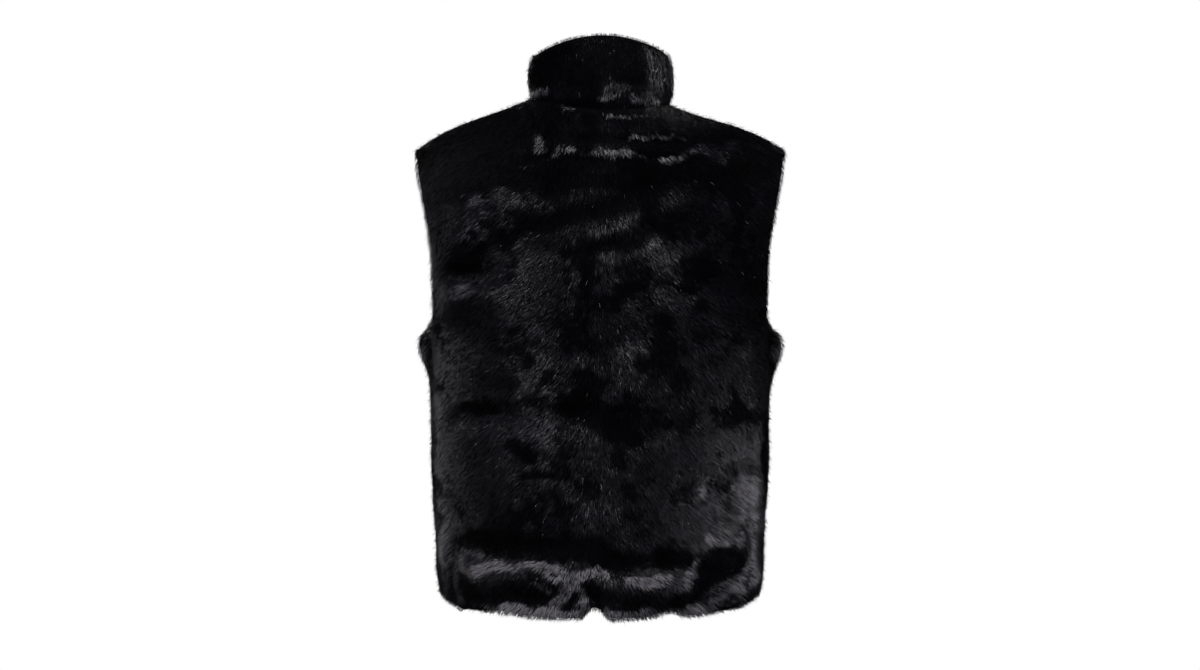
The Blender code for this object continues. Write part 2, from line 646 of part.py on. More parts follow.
def add_pull(collection):
    """The pull tab: a flat plate whose pin turns under the slider's arch."""
    origin, run, normal = slider_frame()
    out = plate_front() + PIN_HEIGHT
    pin = origin - ARCH_DOWN * run + out * normal
    across = (-1.0, -EYE_HALF_SHARE, EYE_HALF_SHARE, 1.0)
    vertices = []
    for layer in (-1, 1):
        for up, half in zip(PULL_ROWS, PULL_HALVES):
            for share in across:
                vertices.append(place(share * half, up, layer * PULL_THICK / 2, pin, run, normal))
    width, layer_size = len(across), len(across) * len(PULL_ROWS)
    cells = {(row, column) for row in range(len(PULL_ROWS) - 1) for column in range(width - 1)}
    cells.remove((1, 1))
    faces = []
    for row, column in sorted(cells):
        corners = (row * width + column, row * width + column + 1,
                   (row + 1) * width + column + 1, (row + 1) * width + column)
        faces.append(corners)
        faces.append(tuple(corner + layer_size for corner in corners))
        neighbours = ((row - 1, column), (row, column + 1), (row + 1, column), (row, column - 1))
        for edge, neighbour in enumerate(neighbours):
            if neighbour not in cells:
                first, second = corners[edge], corners[(edge + 1) % 4]
                faces.append((first, second, second + layer_size, first + layer_size))
    return add_object("zip_pull", vertices, faces, METAL_COLOUR, collection)


def main():
    for item in list(bpy.data.objects):
        bpy.data.objects.remove(item)
    collection = bpy.data.collections.new("Vest")
    bpy.context.scene.collection.children.link(collection)
    half = half_columns(False)
    add_wall("back", *panel_walls(np.concatenate([-half[::-1], half[1:]]), True), collection)
    add_wall("front_left", *panel_walls(half_columns(True), False), collection)
    add_wall("front_right", *panel_walls(-half_columns(True), False), collection)
    add_wall("collar", *collar_walls(), collection)
    add_zip(collection)
    add_slider(collection)
    add_pull(collection)


main()
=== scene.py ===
"""Faux fur vest: cloth shells, combed pile, zip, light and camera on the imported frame.

Metres, in the frame of the solids: +Z up, the front faces -Y. Tables made by in_metres are
written in millimetres. The photo is taken from the back, so its camera stands on the +Y side.
Each cloth piece is a thin shell of backing and undercoat, and its pile is a mesh of fine
blades whose tips reach the solid's surface.
"""

import math
from collections import namedtuple

import bpy
import numpy as np
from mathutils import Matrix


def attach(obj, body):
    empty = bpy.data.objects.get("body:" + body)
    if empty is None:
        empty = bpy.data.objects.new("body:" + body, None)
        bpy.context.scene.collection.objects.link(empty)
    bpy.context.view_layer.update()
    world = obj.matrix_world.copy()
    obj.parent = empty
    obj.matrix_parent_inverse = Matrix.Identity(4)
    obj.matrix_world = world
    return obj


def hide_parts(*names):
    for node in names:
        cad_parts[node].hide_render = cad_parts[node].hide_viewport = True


NOT_LENGTHS = ("turn_deg", "lift_deg", "lean", "side")


def in_metres(kind, rows):
    """Rows of a table as named tuples. Lengths are in millimetres there, and in metres after."""
    per_metre = [1 if name in NOT_LENGTHS else 1000 for name in kind._fields]
    return [kind(*np.divide(row, per_metre)) for row in rows]


# Cloth and seams, as in the solids
BODY_WALL = 0.010
COLLAR_WALL = 0.014
SEAM_GAP = 0.0001  # as good as closed, where the solids keep a wider gap
EDGE_ROUND = 0.006
EDGE_ROWS = (0.0012, 0.0030, 0.0052)
EDGE_S = (0.0050, 0.0125, 0.0220)
ROW_STEP = 0.0065
CAP_ROWS = 20
COLLAR_ROW_STEP = 0.0060
NECK_COLUMNS = 22
SHOULDER_COLUMNS = 22
NECK_SHARE = 0.45
ROW_CLEAR = 0.001  # the least between a row at an edge and the next
TINY, NO_LENGTH = 1e-9, 1e-12  # as good as nothing

SideLevel = namedtuple("SideLevel", "edge_x edge_y edge_z back_y back_z front_y front_z")
SIDE_LEVELS = in_metres(SideLevel, (
    (194, 4, -590, 107, -616, -109, -606),  # hem
    (197, 4, -562, 117, -583, -116, -574),  # roll of the turned hem
    (198, 4, -522, 112, -535, -115, -528),
    (203, 4, -462, 108, -466, -116, -462),
    (204, 4, -392, 108, -393, -118, -392),
    (204, 4, -330, 114, -330, -123, -330),
    (203, 4, -282, 119, -276, -127, -278),  # underarm
))
ArmLevel = namedtuple("ArmLevel", "mid_y mid_z edge_x edge_y edge_z turn_deg")
BACK_LEVELS = in_metres(ArmLevel, (
    (121, -256, 202, 26, -267, 84),
    (122, -222, 202, 44, -236, 78),
    (120, -168, 204, 54, -178, 72),
    (111, -112, 214, 50, -120, 66),
))
FRONT_LEVELS = in_metres(ArmLevel, (
    (-128, -258, 202, -22, -268, 84),
    (-129, -228, 201, -43, -238, 78),
    (-126, -178, 204, -56, -180, 72),
    (-116, -132, 213, -52, -122, 66),
))
SIDE_TURN_DEG = 90
SECTION_FLATNESS = 2.5
BODY_MIDDLE_Z = -0.300
SEAM_TURN_REACH = 0.020

BACK_NECK_RUN = (0.0, -0.45, 0.89)
FRONT_NECK_RUN = (0.0, 0.45, 0.89)
SHOULDER_RUN_Y, SHOULDER_RUN_Z = 1.0, 0.12
CAP_FULLNESS = 1.1

Ring = namedtuple("Ring", "half_x back_y front_y back_z side_z front_z lean")
COLLAR_RINGS = in_metres(Ring, (
    (86, 76, -82, -14, 0, -52, 0.045),
    (88.5, 77.5, -85, 15, 18, -33, 0.03),
    (87.8, 73.5, -82, 44, 36, -10, 0),
    (84, 67, -76, 72, 53, 14, -0.02),
))
RING_MIDDLE_Y = -0.002
RING_FRONT_POWER = 1.5  # how late the rings drop towards the front

TIP_X, TIP_Y, TIP_Z = 0.225, -0.003, -0.060
SHOULDER_ARCH, ARCH_OUTWARDS = 0.007, 1.8
SHOULDER_WALL = 0.0108
NECK_WALL = 0.0150
NECK_WALL_DROP = 0.62
WALL_BLEND = 0.035

Scallop = namedtuple("Scallop", "x width rise")
BACK_SCALLOPS = in_metres(Scallop, (
    (6, 10, 14),
    (-81, 16, 6),
    (116, 24, 4),
))
FRONT_SCALLOPS = in_metres(Scallop, (
    (64, 22, 5),
    (-85, 20, 5),
    (140, 26, 4),
    (-146, 24, 4),
))
SCALLOP_REACH = 0.032
SCALLOP_FLATNESS = 6

# Folds: two ends, half width, and height, where less than 0 is a trough
FOLD_FADE_S, FOLD_FADE_TOP = 0.90, 0.025
COLLAR_FOLD_END = 2  # how fast the collar's folds end at its sides
Fold = namedtuple("Fold", "x0 z0 x1 z1 half height")
BACK_FOLDS = in_metres(Fold, (
    # the solids' folds
    (150, -192, -60, -112, 16, -6),
    (150, -146, 80, -128, 22, 5),
    (-100, -135, -180, -150, 22, 4),
    (168, -208, 132, -212, 14, -8),
    (172, -234, 130, -236, 14, 5),
    (20, -372, -70, -392, 18, -4.5),
    (165, -378, 100, -380, 14, -4),
    (145, -532, 0, -524, 16, -5.5),
    (-10, -546, -100, -548, 15, -5.5),
    (145, -568, 40, -562, 13, 5),
    (-30, -575, -88, -575, 13, 5),
    (-128, -556, -112, -592, 13, -6),
    # creases across the shoulders
    (85, -64, -107, -69, 6, 3.5),
    (88, -48, -108, -56, 7, -3),
    (-22, -44, -104, -45, 5, 3),
    (72, -48, 74, -62, 8, 3),
    (12, -166, -55, -147, 9, 2.8),
    (12, -184, -60, -166, 8, -3.5),
    # waist and middle
    (165, -357, 50, -354, 6, 3),
    (34, -354, -20, -357, 7, 2.5),
    (20, -165, 18, -330, 6, -2.5),
    (12, -300, -60, -284, 11, -3),
    # broken edge of the hem's roll
    (85, -556, 40, -562, 8, 3.5),
    (36, -568, 6, -600, 8, 4.5),
    (20, -566, -10, -572, 7, 3.5),
    (112, -590, 50, -594, 8, -4),
    (-96, -594, -126, -558, 7, 4.5),
    (-105, -540, -150, -552, 9, 4.5),
    (172, -532, 170, -600, 7, -5),
))
FRONT_FOLDS = in_metres(Fold, (
    (150, -200, 60, -130, 16, -5),
    (-160, -212, -70, -150, 16, -5),
    (150, -360, 70, -390, 16, -4),
    (-145, -400, -60, -420, 16, -4),
    (150, -528, 45, -520, 16, -5),
    (-155, -526, -45, -524, 16, -5),
    (145, -560, 50, -556, 13, 4.5),
    (-150, -558, -55, -562, 13, 4.5),
    # finer ones, uneven from side to side
    (120, -84, 60, -98, 8, 3),
    (-135, -90, -62, -88, 7, 3),
    (60, -220, 100, -320, 10, 2.5),
    (-50, -250, -85, -330, 11, 2.5),
    (40, -450, 120, -470, 9, -3),
    (-35, -476, -100, -462, 9, -3),
    (165, -590, 160, -545, 8, -4),
    (-110, -590, -106, -560, 8, -4),
))
COLLAR_FOLDS = in_metres(Fold, (
    (80, 4, 56, 0, 7, 3),
    (40, -2, -10, -3, 6, 2.5),
    (-46, 3, -84, -2, 8, 3.5),
    (-30, 14, -60, 9, 8, -3),
    (-63, 52, -67, 6, 5, -3),
))

Corner = namedtuple("Corner", "side z height up down")
UNDERARM_CORNERS = in_metres(Corner, (
    (1, -284, 21, 49, 52),
    (-1, -291, 21, 52, 52),
))
CORNER_S, CORNER_S_HALF = 0.88, 0.08

# Front opening and zip
OPENING_HALF = 0.0063
ZIP_BOTTOM_MARGIN, ZIP_TOP_MARGIN = 0.005, 0.014
TAPE_STEP = 0.012
TAPE_BACK_DEPTH, TAPE_THICK = 0.0087, 0.0007
# Half outline of a tape with its woven cord, across and out from the tape's back
TAPE_OUTLINE = ((0.0004, 0), (0.0060, 0), (0.0060, TAPE_THICK), (0.0026, TAPE_THICK),
                (0.0020, TAPE_THICK + 0.0004), (0.0004, TAPE_THICK + 0.0004))
TOOTH_PITCH, TOOTH_LONG, TOOTH_WIDE, TOOTH_HIGH = 0.0021, 0.0012, 0.003024, 0.0015
TOOTH_CLEAR = 0.0002
# Outline of a tooth, as shares of its size across, out and along. It hooks over the middle.
TOOTH_OUTLINE = ((-0.30, 0, 1), (0.70, 0, 1), (0.70, 0.75, 1), (0.50, 1, 0.8), (-0.15, 1, 0.8),
                 (-0.30, 0.72, 1))

# Pile
UNDERCOAT_SHARE, COLLAR_COAT_SHARE = 0.66, 0.80  # how much of the wall is backing and undercoat
HEM_SHORT, HEM_SHORT_REACH = 0.003, 0.030  # the backing ends above the hem, and the pile hangs past it
STRANDS_PER_SQUARE_METRE = 600000
STRANDS_A_PIECE = 95000
STRAND_LONG, STRAND_WIDE = 0.0095, 0.00054
COLLAR_LONG = 0.85  # the collar's strands, as a share of the body's
LINING_LONG, LINING_DENSITY = 0.7, 0.7  # the collar's inner layer, as shares of its outer one
LONG_LEAST, LONG_MOST, LONG_SPREAD = 0.5, 1.5, 0.10
WIDE_LEAST, WIDE_MOST = 0.7, 1.25
ROOT_DEPTH = 0.0008
ROOT_RISE_DEG, TIP_RISE_DEG, RISE_SPREAD_DEG = 26, 3, 4
BEND_LEAST_DEG, BEND_MOST_DEG = -14, 30  # the most that brush marks and clouds bend a strand
ROOT_BEND_SHARE, TIP_BEND_SHARE = 0.5, 0.8
WILD_SHARE, WILD_RISE_DEG = 0.07, 26
FAR = 1.0  # how far from an edge the pile is where the cloth has none
EDGE_TURN, EDGE_REACH = 1.3, 0.007  # how far the pile turns outwards along a free edge, and how wide
RIM_RISE_DEG, SIDE_RISE_DEG = 64, 16  # how much more it stands up there
STAND_SHORT = 0.45  # and how much shorter it is where it stands straight up
COMB_ON_CLOTH = 0.5  # share of the comb's rise from the cloth that is taken out
TURN_SPREAD = 0.10  # radians, as all turns here
SPREAD_TURN, SPREAD_X = 0.75, 0.06  # the back's pile is brushed down and outwards from its middle
BACK_NAP_TURN, FRONT_NAP_TURN = 0.25, 0.5
TWIST_DEG = 40
MIDDLE_PULL, TIP_PULL = 0.35, 0.65

# Uneven patches: how large they are, and how much they change
Patch = namedtuple("Patch", "size amount")
TUFTS = (Patch(0.0026, 0.11), Patch(0.011, 0.05))  # strands pulled together, in tufts and in locks
LONG_PATCH = Patch(0.02, 0.14)
TURN_PATCH = Patch(0.012, 0.12)
NAP_TURNS = (Patch(0.11, 0.6), Patch(0.044, 0.4))
NAP_CLOUDS = (Patch(0.045, 0.8), Patch(0.022, 0.75), Patch(0.011, 0.5), Patch(0.0055, 0.35),
              Patch(0.0028, 0.25))
CLOUD_VALUES, CLOUD_LIFTS_DEG = (-0.80, -0.42, -0.18, 0.60), (-14, -5, 1, 5)
BRUSH_RAGGED = (Patch(0.022, 0.0040), Patch(0.008, 0.0022), Patch(0.0032, 0.0012))
BRUSH_CORE = 0.5  # marks are whole up to this many half widths, and gone one further out
NOISE_CELLS = 64
TUFT_LEAST, TUFT_MOST = 0.1, 0.9  # where in its cell the middle of a tuft may be
PLACE_START = 3.0  # keeps all places on the cloth above 0
SEEDS_A_NODE = 100
TURN_SEED, TUFT_SEED, LONG_SEED, CLOUD_SEED, RAGGED_SEED = 1, 2, 4, 10, 30  # first of each kind
LINING_SEED, NAP_SEED = 50, 60

# How the light sees a strand
LIT_LEAN_DEG, LEAN_SPREAD_DEG = 7.5, 5  # how far it leans up from the cloth
LOW_LEAN, HIGH_LEAN = 1.2, 0.8  # at its root and its tip, as shares of that
SLOPE_HIDDEN = 0.65  # share of the cloth's slope that the pile's lie makes up for
GLINT_SHARE, GLINT_DEG = 0.012, 22
ROUND_SHARE = 0.45  # how much a strand's normals spread to its sides, as on a round fibre
PAINTED_LIGHT_SPAN_DEG, PAINTED_LIGHT_SPREAD_DEG = 60, 4  # the lift from the darkest painted shade in the fibre's colour to the brightest painted sheen

FIBRE_CLOUDS = 0.2  # how much soft patches lighten the fibre
WORN_ROUGHER = 0.18  # how much rougher plastic and plating are where they are rubbed

# Brush marks in the pile: two ends, half width, and how far the pile there is lifted from its
# usual lie. Each mark is laid over the ones before it. The lift also paints light into the
# fibre's colour: a low lift is painted shade, a high one painted sheen.
Brush = namedtuple("Brush", "x0 z0 x1 z1 half lift_deg")
BACK_BRUSH_AND_PAINTED_LIGHT = in_metres(Brush, (
    # shoulders and yoke lie flat, with painted shade in their colour
    (170, -110, -170, -130, 40, -11),
    (170, -75, -170, -75, 34, -22),
    (170, -30, -170, -30, 34, -24),
    (205, -65, 120, -35, 24, -34),
    (-205, -65, -120, -35, 24, -28),
    (-165, -130, -178, -290, 32, -3),
    (60, -102, -70, -98, 22, -22),
    # ridges along the shoulder seams, with lighter painted shade
    (211, -58, 178, -51, 4.8, -15),
    (172, -47, 142, -39, 4.7, -19),
    (137, -35, 118, -31, 4.1, -17),
    (111, -28, 82, -18, 4.1, -21),
    (-93, -13, -138, -28, 4.7, -21),
    (-145, -30, -179, -45, 4.7, -17),
    (-185, -47, -215, -60, 4.7, -14),
    # broken crease across the shoulders, and fainter ones beside it, mostly painted sheen with some
    # painted shade
    (52, -71, 31, -71, 4.1, 4),
    (20, -72, -13, -72, 3.7, 3),
    (-18, -74, -50, -75, 2.9, 9),
    (-53, -78, -64, -79, 2.3, 2),
    (-69, -78, -79, -78, 4.7, 16),
    (-85, -77, -95, -77, 3.5, 14),
    (-100, -75, -107, -72, 4.1, 10),
    (-29, -51, -100, -50, 1.4, 10),
    (-99, -51, -100, -56, 1.4, 8),
    (72, -54, 72, -65, 6.4, -11),
    (73, -68, 65, -69, 2.9, 1),
    (-10, -30, -69, -29, 1.4, -2),
    (44, -16, 15, -17, 3.5, -3),
    (-8, -14, -23, -15, 3.5, 0),
    (-121, -67, -145, -74, 10.6, 1),
    (-158, -62, -189, -70, 10.6, 1),
    (-158, -70, -189, -74, 9.4, -3),
    (-205, -58, -220, -62, 5.4, 8),
    (207, -56, 184, -55, 3.6, -12),
    # lit patch and dark band across the shoulder blades, as painted sheen and painted shade
    (117, -120, 93, -135, 9.3, -1),
    (143, -142, 111, -158, 18.7, 7),
    (155, -171, 117, -169, 11.7, 5),
    (157, -168, 141, -178, 8.2, 7),
    (26, -122, -18, -116, 6.9, -10),
    (-87, -126, -123, -128, 9.3, -12),
    (64, -172, -23, -143, 23.1, -13),
    (143, -191, 79, -156, 8.2, -16),
    (79, -156, -57, -126, 10.4, -20),
    (-5, -190, -63, -224, 17.3, -9),
    (10, -169, -39, -155, 3.5, -8),
    (8, -186, -46, -177, 8.1, -16),
    (171, -206, 122, -204, 9.4, -26),
    (162, -214, 126, -218, 4.7, -22),
    (177, -236, 148, -232, 5.9, 8),
    (167, -227, 153, -228, 3.5, 12),
    (127, -223, 120, -238, 4.7, 11),
    # middle: patches of painted sheen and painted shade
    (103, -207, 103, -270, 32.5, 3),
    (58, -213, 51, -265, 20.8, -5),
    (76, -294, 64, -438, 23.1, 6),
    (111, -241, 70, -294, 15.1, 4),
    (29, -438, 10, -478, 13.9, 4),
    (143, -294, 93, -311, 10.5, 3),
    (3, -294, -28, -302, 13.8, -7),
    (64, -294, 41, -299, 11.6, -2),
    (129, -468, 82, -487, 14, 2),
    (18, -198, 14, -276, 3.5, -14),
    (1, -207, -23, -276, 20.8, -4),
    (-63, -265, -170, -294, 18.5, 6),
    (-46, -311, -116, -358, 27.7, 4),
    (-104, -230, -116, -276, 16.2, 2),
    (-75, -198, -110, -212, 18.5, 3),
    (-57, -242, -104, -276, 23.1, 1),
    (-63, -222, -116, -231, 2.9, -14),
    (-130, -212, -195, -217, 21, -7),
    (171, -282, 141, -295, 9.4, -8),
    (141, -358, 117, -439, 18.7, 2),
    (159, -332, 105, -340, 9.4, -8),
    (160, -356, 100, -361, 1.9, -16),
    (100, -361, 39, -352, 1.4, -10),
    (39, -352, -3, -358, 1.8, -14),
    (155, -367, 120, -369, 5.8, -18),
    (29, -363, -13, -392, 16.2, -14),
    (-13, -392, -36, -403, 11.5, -26),
    (-69, -438, -104, -473, 18.5, -4),
    (-23, -415, -25, -429, 9.2, -12),
    (100, -410, 84, -424, 9.3, -18),
    (87, -448, 58, -444, 4.6, -12),
    # lit right side, from the waist to the hem, and the shadow at its seam
    (-116, -358, -163, -405, 27.9, 0),
    (-183, -370, -188, -512, 8.3, 7),
    (-122, -480, -161, -510, 17.4, 9),
    (-171, -452, -176, -564, 11.7, 15),
    (-116, -464, -130, -474, 7, 19),
    (-124, -517, -144, -528, 5.8, 20),
    (-196, -389, -198, -501, 4.1, -40),
    (190, -359, 188, -500, 5.9, 6),
    # band of painted shade above the hem
    (153, -527, 1, -532, 14, -16),
    (1, -544, -80, -542, 9.2, -18),
    (-73, -545, -157, -545, 12.7, -28),
    (-116, -572, -157, -551, 10.5, -30),
    (-92, -589, -116, -584, 9.3, -20),
    (155, -539, 138, -542, 3.5, 13),
    # roll of the hem, with painted highlights along it and a little painted shade
    (148, -561, 123, -554, 5.6, 30),
    (123, -554, 73, -549, 5.8, 31),
    (73, -549, 49, -557, 5.8, 31),
    (51, -559, 31, -568, 8.7, 31),
    (27, -563, 4, -556, 5.2, 26),
    (4, -556, -6, -562, 3.5, 20),
    (41, -574, 51, -591, 8.7, 30),
    (61, -577, 76, -571, 4.6, 13),
    (27, -576, 21, -592, 5.2, 26),
    (123, -579, 76, -579, 7, -8),
    (12, -575, 4, -584, 8.1, -15),
    (157, -569, 153, -586, 9.4, -18),
    (185, -506, 181, -547, 8.3, 10),
    (183, -571, 177, -582, 10.6, -6),
    (147, -595, 117, -600, 5.3, 18),
    (117, -600, 47, -607, 5.8, 27),
    (47, -607, 21, -602, 5.8, 28),
    (-6, -602, -28, -608, 6.3, 24),
    (-28, -608, -78, -604, 6.3, 20),
    (-83, -603, -122, -605, 5.8, 17),
    (-130, -600, -144, -589, 5.8, 11),
    (-36, -568, -76, -568, 5.3, 31),
    (-114, -543, -101, -573, 4.1, 17),
    (-5, -581, -63, -585, 8.1, -4),
    (-163, -581, -176, -564, 11.7, 14),
))
FRONT_BRUSH_AND_PAINTED_LIGHT = in_metres(Brush, (
    # shoulders lie flat, with painted shade in their colour
    (170, -80, 70, -60, 30, -14),
    (-170, -85, -70, -62, 30, -16),
    # lit patches and dark bands over the chest, as painted sheen and painted shade
    (135, -125, 98, -140, 17, 10),
    (92, -150, 66, -168, 11, 7),
    (-145, -138, -118, -150, 14, 9),
    (-98, -118, -70, -126, 12, 12),
    (150, -205, 60, -180, 9, -14),
    (-155, -222, -98, -196, 10, -16),
    (-88, -190, -50, -176, 7, -10),
    # middle: patches of painted sheen and painted shade
    (100, -258, 66, -330, 26, 6),
    (-118, -262, -92, -322, 24, 8),
    (150, -372, 104, -384, 10, -16),
    (92, -390, 58, -380, 7, -10),
    (-148, -404, -112, -418, 10, -14),
    (-100, -414, -62, -428, 8, -18),
    (60, -430, 40, -462, 10, -8),
    (-50, -350, -40, -380, 12, 5),
    # painted sheen on the lower sides
    (158, -472, 122, -500, 18, 12),
    (-146, -462, -108, -486, 16, 10),
    # band of painted shade above the hem
    (155, -530, 96, -526, 11, -20),
    (86, -524, 40, -528, 9, -15),
    (-158, -528, -90, -532, 10, -18),
    (-80, -530, -40, -522, 9, -22),
    # painted highlights along the roll of the hem
    (150, -562, 112, -556, 5.5, 26),
    (104, -555, 76, -560, 5, 20),
    (70, -558, 46, -552, 4.5, 28),
    (-152, -560, -120, -564, 5, 24),
    (-112, -563, -58, -556, 5.5, 28),
    (120, -590, 60, -594, 6, 14),
    (-130, -592, -70, -596, 6, 12),
    # painted highlights on the underarm corners, as the back view shows them
    (214, -276, 212, -300, 12, 18),
    (-214, -280, -212, -304, 12, 20),
))
COLLAR_BRUSH_AND_PAINTED_LIGHT = in_metres(Brush, (
    # painted shade over most of the collar, and streaks of painted sheen and shade down its -X side
    # and along its foot
    (80, 0, -80, 0, 40, -17),
    (80, 45, -30, 45, 32, -24),
    (-64, 54, -69, 17, 8.3, 4),
    (-73, 53, -79, 21, 7.1, 10),
    (-80, 45, -87, 5, 5.9, 16),
    (-72, 34, -75, -1, 1.8, -24),
    (-79, 30, -83, 0, 1.4, -20),
    (78, 5, 61, 7, 4.7, 12),
    (-8, 3, -28, 8, 8.2, -4),
    (1, -5, -25, -2, 2.3, 4),
    (-42, -4, -66, -5, 4.7, 7),
))

# Cut sizes, and areas where the cut isn't a rectangle
Cut = namedtuple("Cut", "node width length area")
CUTS = (
    Cut("back", 0.54, 0.66, 0.300),
    Cut("front_left", 0.28, 0.66, 0.150),
    Cut("front_right", 0.28, 0.66, 0.150),
    Cut("collar", 0.53, 0.078, 0.036),
)

# Stage
CAMERA_PLACE = (0, 3.0, -0.282)
LENS_MM, SENSOR_MM = 75, 36
FLOOR_Z, FLOOR_RADIUS, FLOOR_SIDES = -1.45, 4.0, 64
WORLD_GLOW, WORLD_SEEN = (0.02, 0.02, 0.0205, 1), (1, 1, 1, 1)  # as light, and to the camera
Light = namedtuple("Light", "name place target size watts spread_deg")
LIGHTS = (
    Light("top_soft", (0.1, 1.30, 1.35), (0, 0, -0.3), (1.4, 0.5), 42, 180),
    Light("right_strip", (-1.30, 0.75, 0.0), (-0.165, 0.05, -0.52), (0.2, 0.2), 0.068, 13),
    Light("left_strip", (1.5, -0.10, -0.10), (0.20, 0, -0.48), (0.8, 0.5), 0.26, 27),
    Light("collar_strip", (-1.4, -0.25, 0.50), (-0.078, 0.03, 0.035), (0.06, 0.06), 0.0075, 6),
    Light("side_fill", (-1.8, -0.4, 0.3), (0, 0, -0.3), (0.8, 1.4), 0.45, 180),
    Light("front_soft", (0.6, -1.8, 0.7), (0, 0, -0.3), (1.2, 1.2), 26, 180),
)


def smoothstep(value):
    value = np.clip(value, 0.0, 1.0)
    return value * value * (3.0 - 2.0 * value)


def bell(distance, width):
    """1 at no distance, falling smoothly to 0 some widths away."""
    return np.exp(-((distance / width) ** 2))


def unit(vectors):
    return vectors / np.maximum(np.linalg.norm(vectors, axis=-1, keepdims=True), NO_LENGTH)


def edge_dip(distance):
    """How far the pile's surface has rounded in at this distance from a turned edge."""
    inside = np.clip(EDGE_ROUND - distance, 0, EDGE_ROUND)
    return EDGE_ROUND - np.sqrt(EDGE_ROUND**2 - inside**2)


def hermite(start, start_run, end, end_run, t):
    return (start * (2 * t**3 - 3 * t**2 + 1) + start_run * (t**3 - 2 * t**2 + t)
            + end * (3 * t**2 - 2 * t**3) + end_run * (t**3 - t**2))


def through(levels, heights, wanted):
    """A smooth curve through the levels at their heights, read at the wanted heights."""
    heights, wanted = np.asarray(heights), np.asarray(wanted)
    steps = np.diff(heights)[:, None, None]
    slopes = np.diff(levels, axis=0) / steps
    runs = np.concatenate([slopes[:1], slopes])
    runs[1:-1] = (slopes[:-1] * steps[1:] + slopes[1:] * steps[:-1]) / (steps[:-1] + steps[1:])
    part = np.clip(np.searchsorted(heights, wanted, side="right") - 1, 0, len(steps) - 1)
    step = steps[part]
    t = (wanted - heights[part])[:, None, None] / step
    return hermite(levels[part], runs[part] * step, levels[part + 1], runs[part + 1] * step, t)


def normals_of(grid, middle=(0.0, 0.0, BODY_MIDDLE_Z)):
    """Unit normals of a grid of points, all on the side away from a middle point."""
    normal = unit(np.cross(np.gradient(grid, axis=1), np.gradient(grid, axis=0)))
    return normal * np.sign((normal * (grid - np.array(middle))).sum())


def distance_to(line, x, z):
    """How far points seen at x and z are from the line of a fold or a brush mark."""
    along_x, along_z = line.x1 - line.x0, line.z1 - line.z0
    length = max(along_x**2 + along_z**2, TINY)
    share = np.clip(((x - line.x0) * along_x + (z - line.z0) * along_z) / length, 0, 1)
    return np.hypot(x - line.x0 - share * along_x, z - line.z0 - share * along_z)


def fold_push(x, z, folds):
    """How far the folds push the cloth out at points seen at x and z."""
    return sum(fold.height * bell(distance_to(fold, x, z), fold.half) for fold in folds)


def ring_points(ring, angle):
    """Points of a collar ring, for angles from 0 at the back to pi at the front, below 0 at -X."""
    turn = np.cos(angle)
    back, front = np.clip(turn, 0, 1), np.clip(-turn, 0, 1)
    x = ring.half_x * np.sin(angle)
    y = RING_MIDDLE_Y + (ring.back_y - RING_MIDDLE_Y) * back + (ring.front_y - RING_MIDDLE_Y) * front
    z = ring.side_z + (ring.back_z - ring.side_z) * back**2
    z += (ring.front_z - ring.side_z) * front**RING_FRONT_POWER
    return np.stack([x, y, z + ring.lean * x], axis=-1)


def front_angle():
    """The ring angle of the front edges."""
    return math.pi - math.asin(OPENING_HALF / COLLAR_RINGS[0].half_x)


def keep_opening(points, side, at_front):
    """Keeps the columns of points that are at the front opening clear of the zip."""
    points[..., at_front, 0] = side * np.maximum(side * points[..., at_front, 0], OPENING_HALF)


def neck_seam(angle):
    """Outer and inner points of the seam between the body and the collar."""
    outer = ring_points(COLLAR_RINGS[0], angle)
    drop = np.full_like(angle, -NECK_WALL_DROP)
    inwards = unit(np.stack([-np.sin(angle), -np.cos(angle), drop], axis=-1))
    dip = edge_dip((front_angle() - np.abs(angle)) * COLLAR_RINGS[0].half_x)[:, None]
    inner = outer + inwards * NECK_WALL
    outer = outer + inwards * dip
    for side in (-1, 1):
        for points in (outer, inner):
            keep_opening(points, side, side * angle > math.pi / 2)
    return outer, inner


def shoulder_seam(share, side):
    """Outer and inner points of a shoulder seam, from the neck at 0 to the armhole at 1."""
    neck_outer, neck_inner = (points[0] for points in neck_seam(np.array([side * math.pi / 2])))
    run = np.array([side * TIP_X, TIP_Y, TIP_Z]) - neck_outer
    outer = neck_outer + share[:, None] * run
    outer[:, 2] += SHOULDER_ARCH * np.sin(math.pi * share**ARCH_OUTWARDS)
    down = unit(np.array([-side * abs(run[2]), 0.0, -abs(run[0])])) * SHOULDER_WALL
    length = np.linalg.norm(run)
    blend = smoothstep(share * length / WALL_BLEND)[:, None]
    reach = (neck_inner - neck_outer) * (1 - blend) + down * blend
    dip = edge_dip((1 - share) * length)[:, None] / SHOULDER_WALL
    return outer + reach * dip, outer + reach


def panel_top(s, is_back):
    """Outer and inner points of a panel's top edge: along the neck, then out along the shoulder."""
    outer, inner = np.empty((len(s), 3)), np.empty((len(s), 3))
    at_neck = np.abs(s) <= NECK_SHARE + TINY
    share = s[at_neck] / NECK_SHARE
    if is_back:
        angle = share * math.pi / 2
    else:
        side = np.sign(s.sum())
        angle = side * (front_angle() + (math.pi / 2 - front_angle()) * np.abs(share))
    outer[at_neck], inner[at_neck] = neck_seam(angle)
    for side in (-1, 1):
        on = ~at_neck & (np.sign(s) == side)
        if on.any():
            along = (np.abs(s[on]) - NECK_SHARE) / (1 - NECK_SHARE)
            outer[on], inner[on] = shoulder_seam(along, side)
    return outer, inner


def half_columns(has_front_edge):
    """s from a panel's middle or front edge at 0 to its side at 1."""
    start = [0.0, *EDGE_S] if has_front_edge else [0.0]
    neck = np.linspace(0, NECK_SHARE, NECK_COLUMNS + 1)[1:]
    neck = neck[neck > start[-1]]
    shoulder = np.linspace(NECK_SHARE, 1, SHOULDER_COLUMNS + 1)[1:-1]
    end = [1 - step for step in reversed(EDGE_S)] + [1.0]
    return np.array([*start, *neck, *shoulder[shoulder < end[0]], *end])


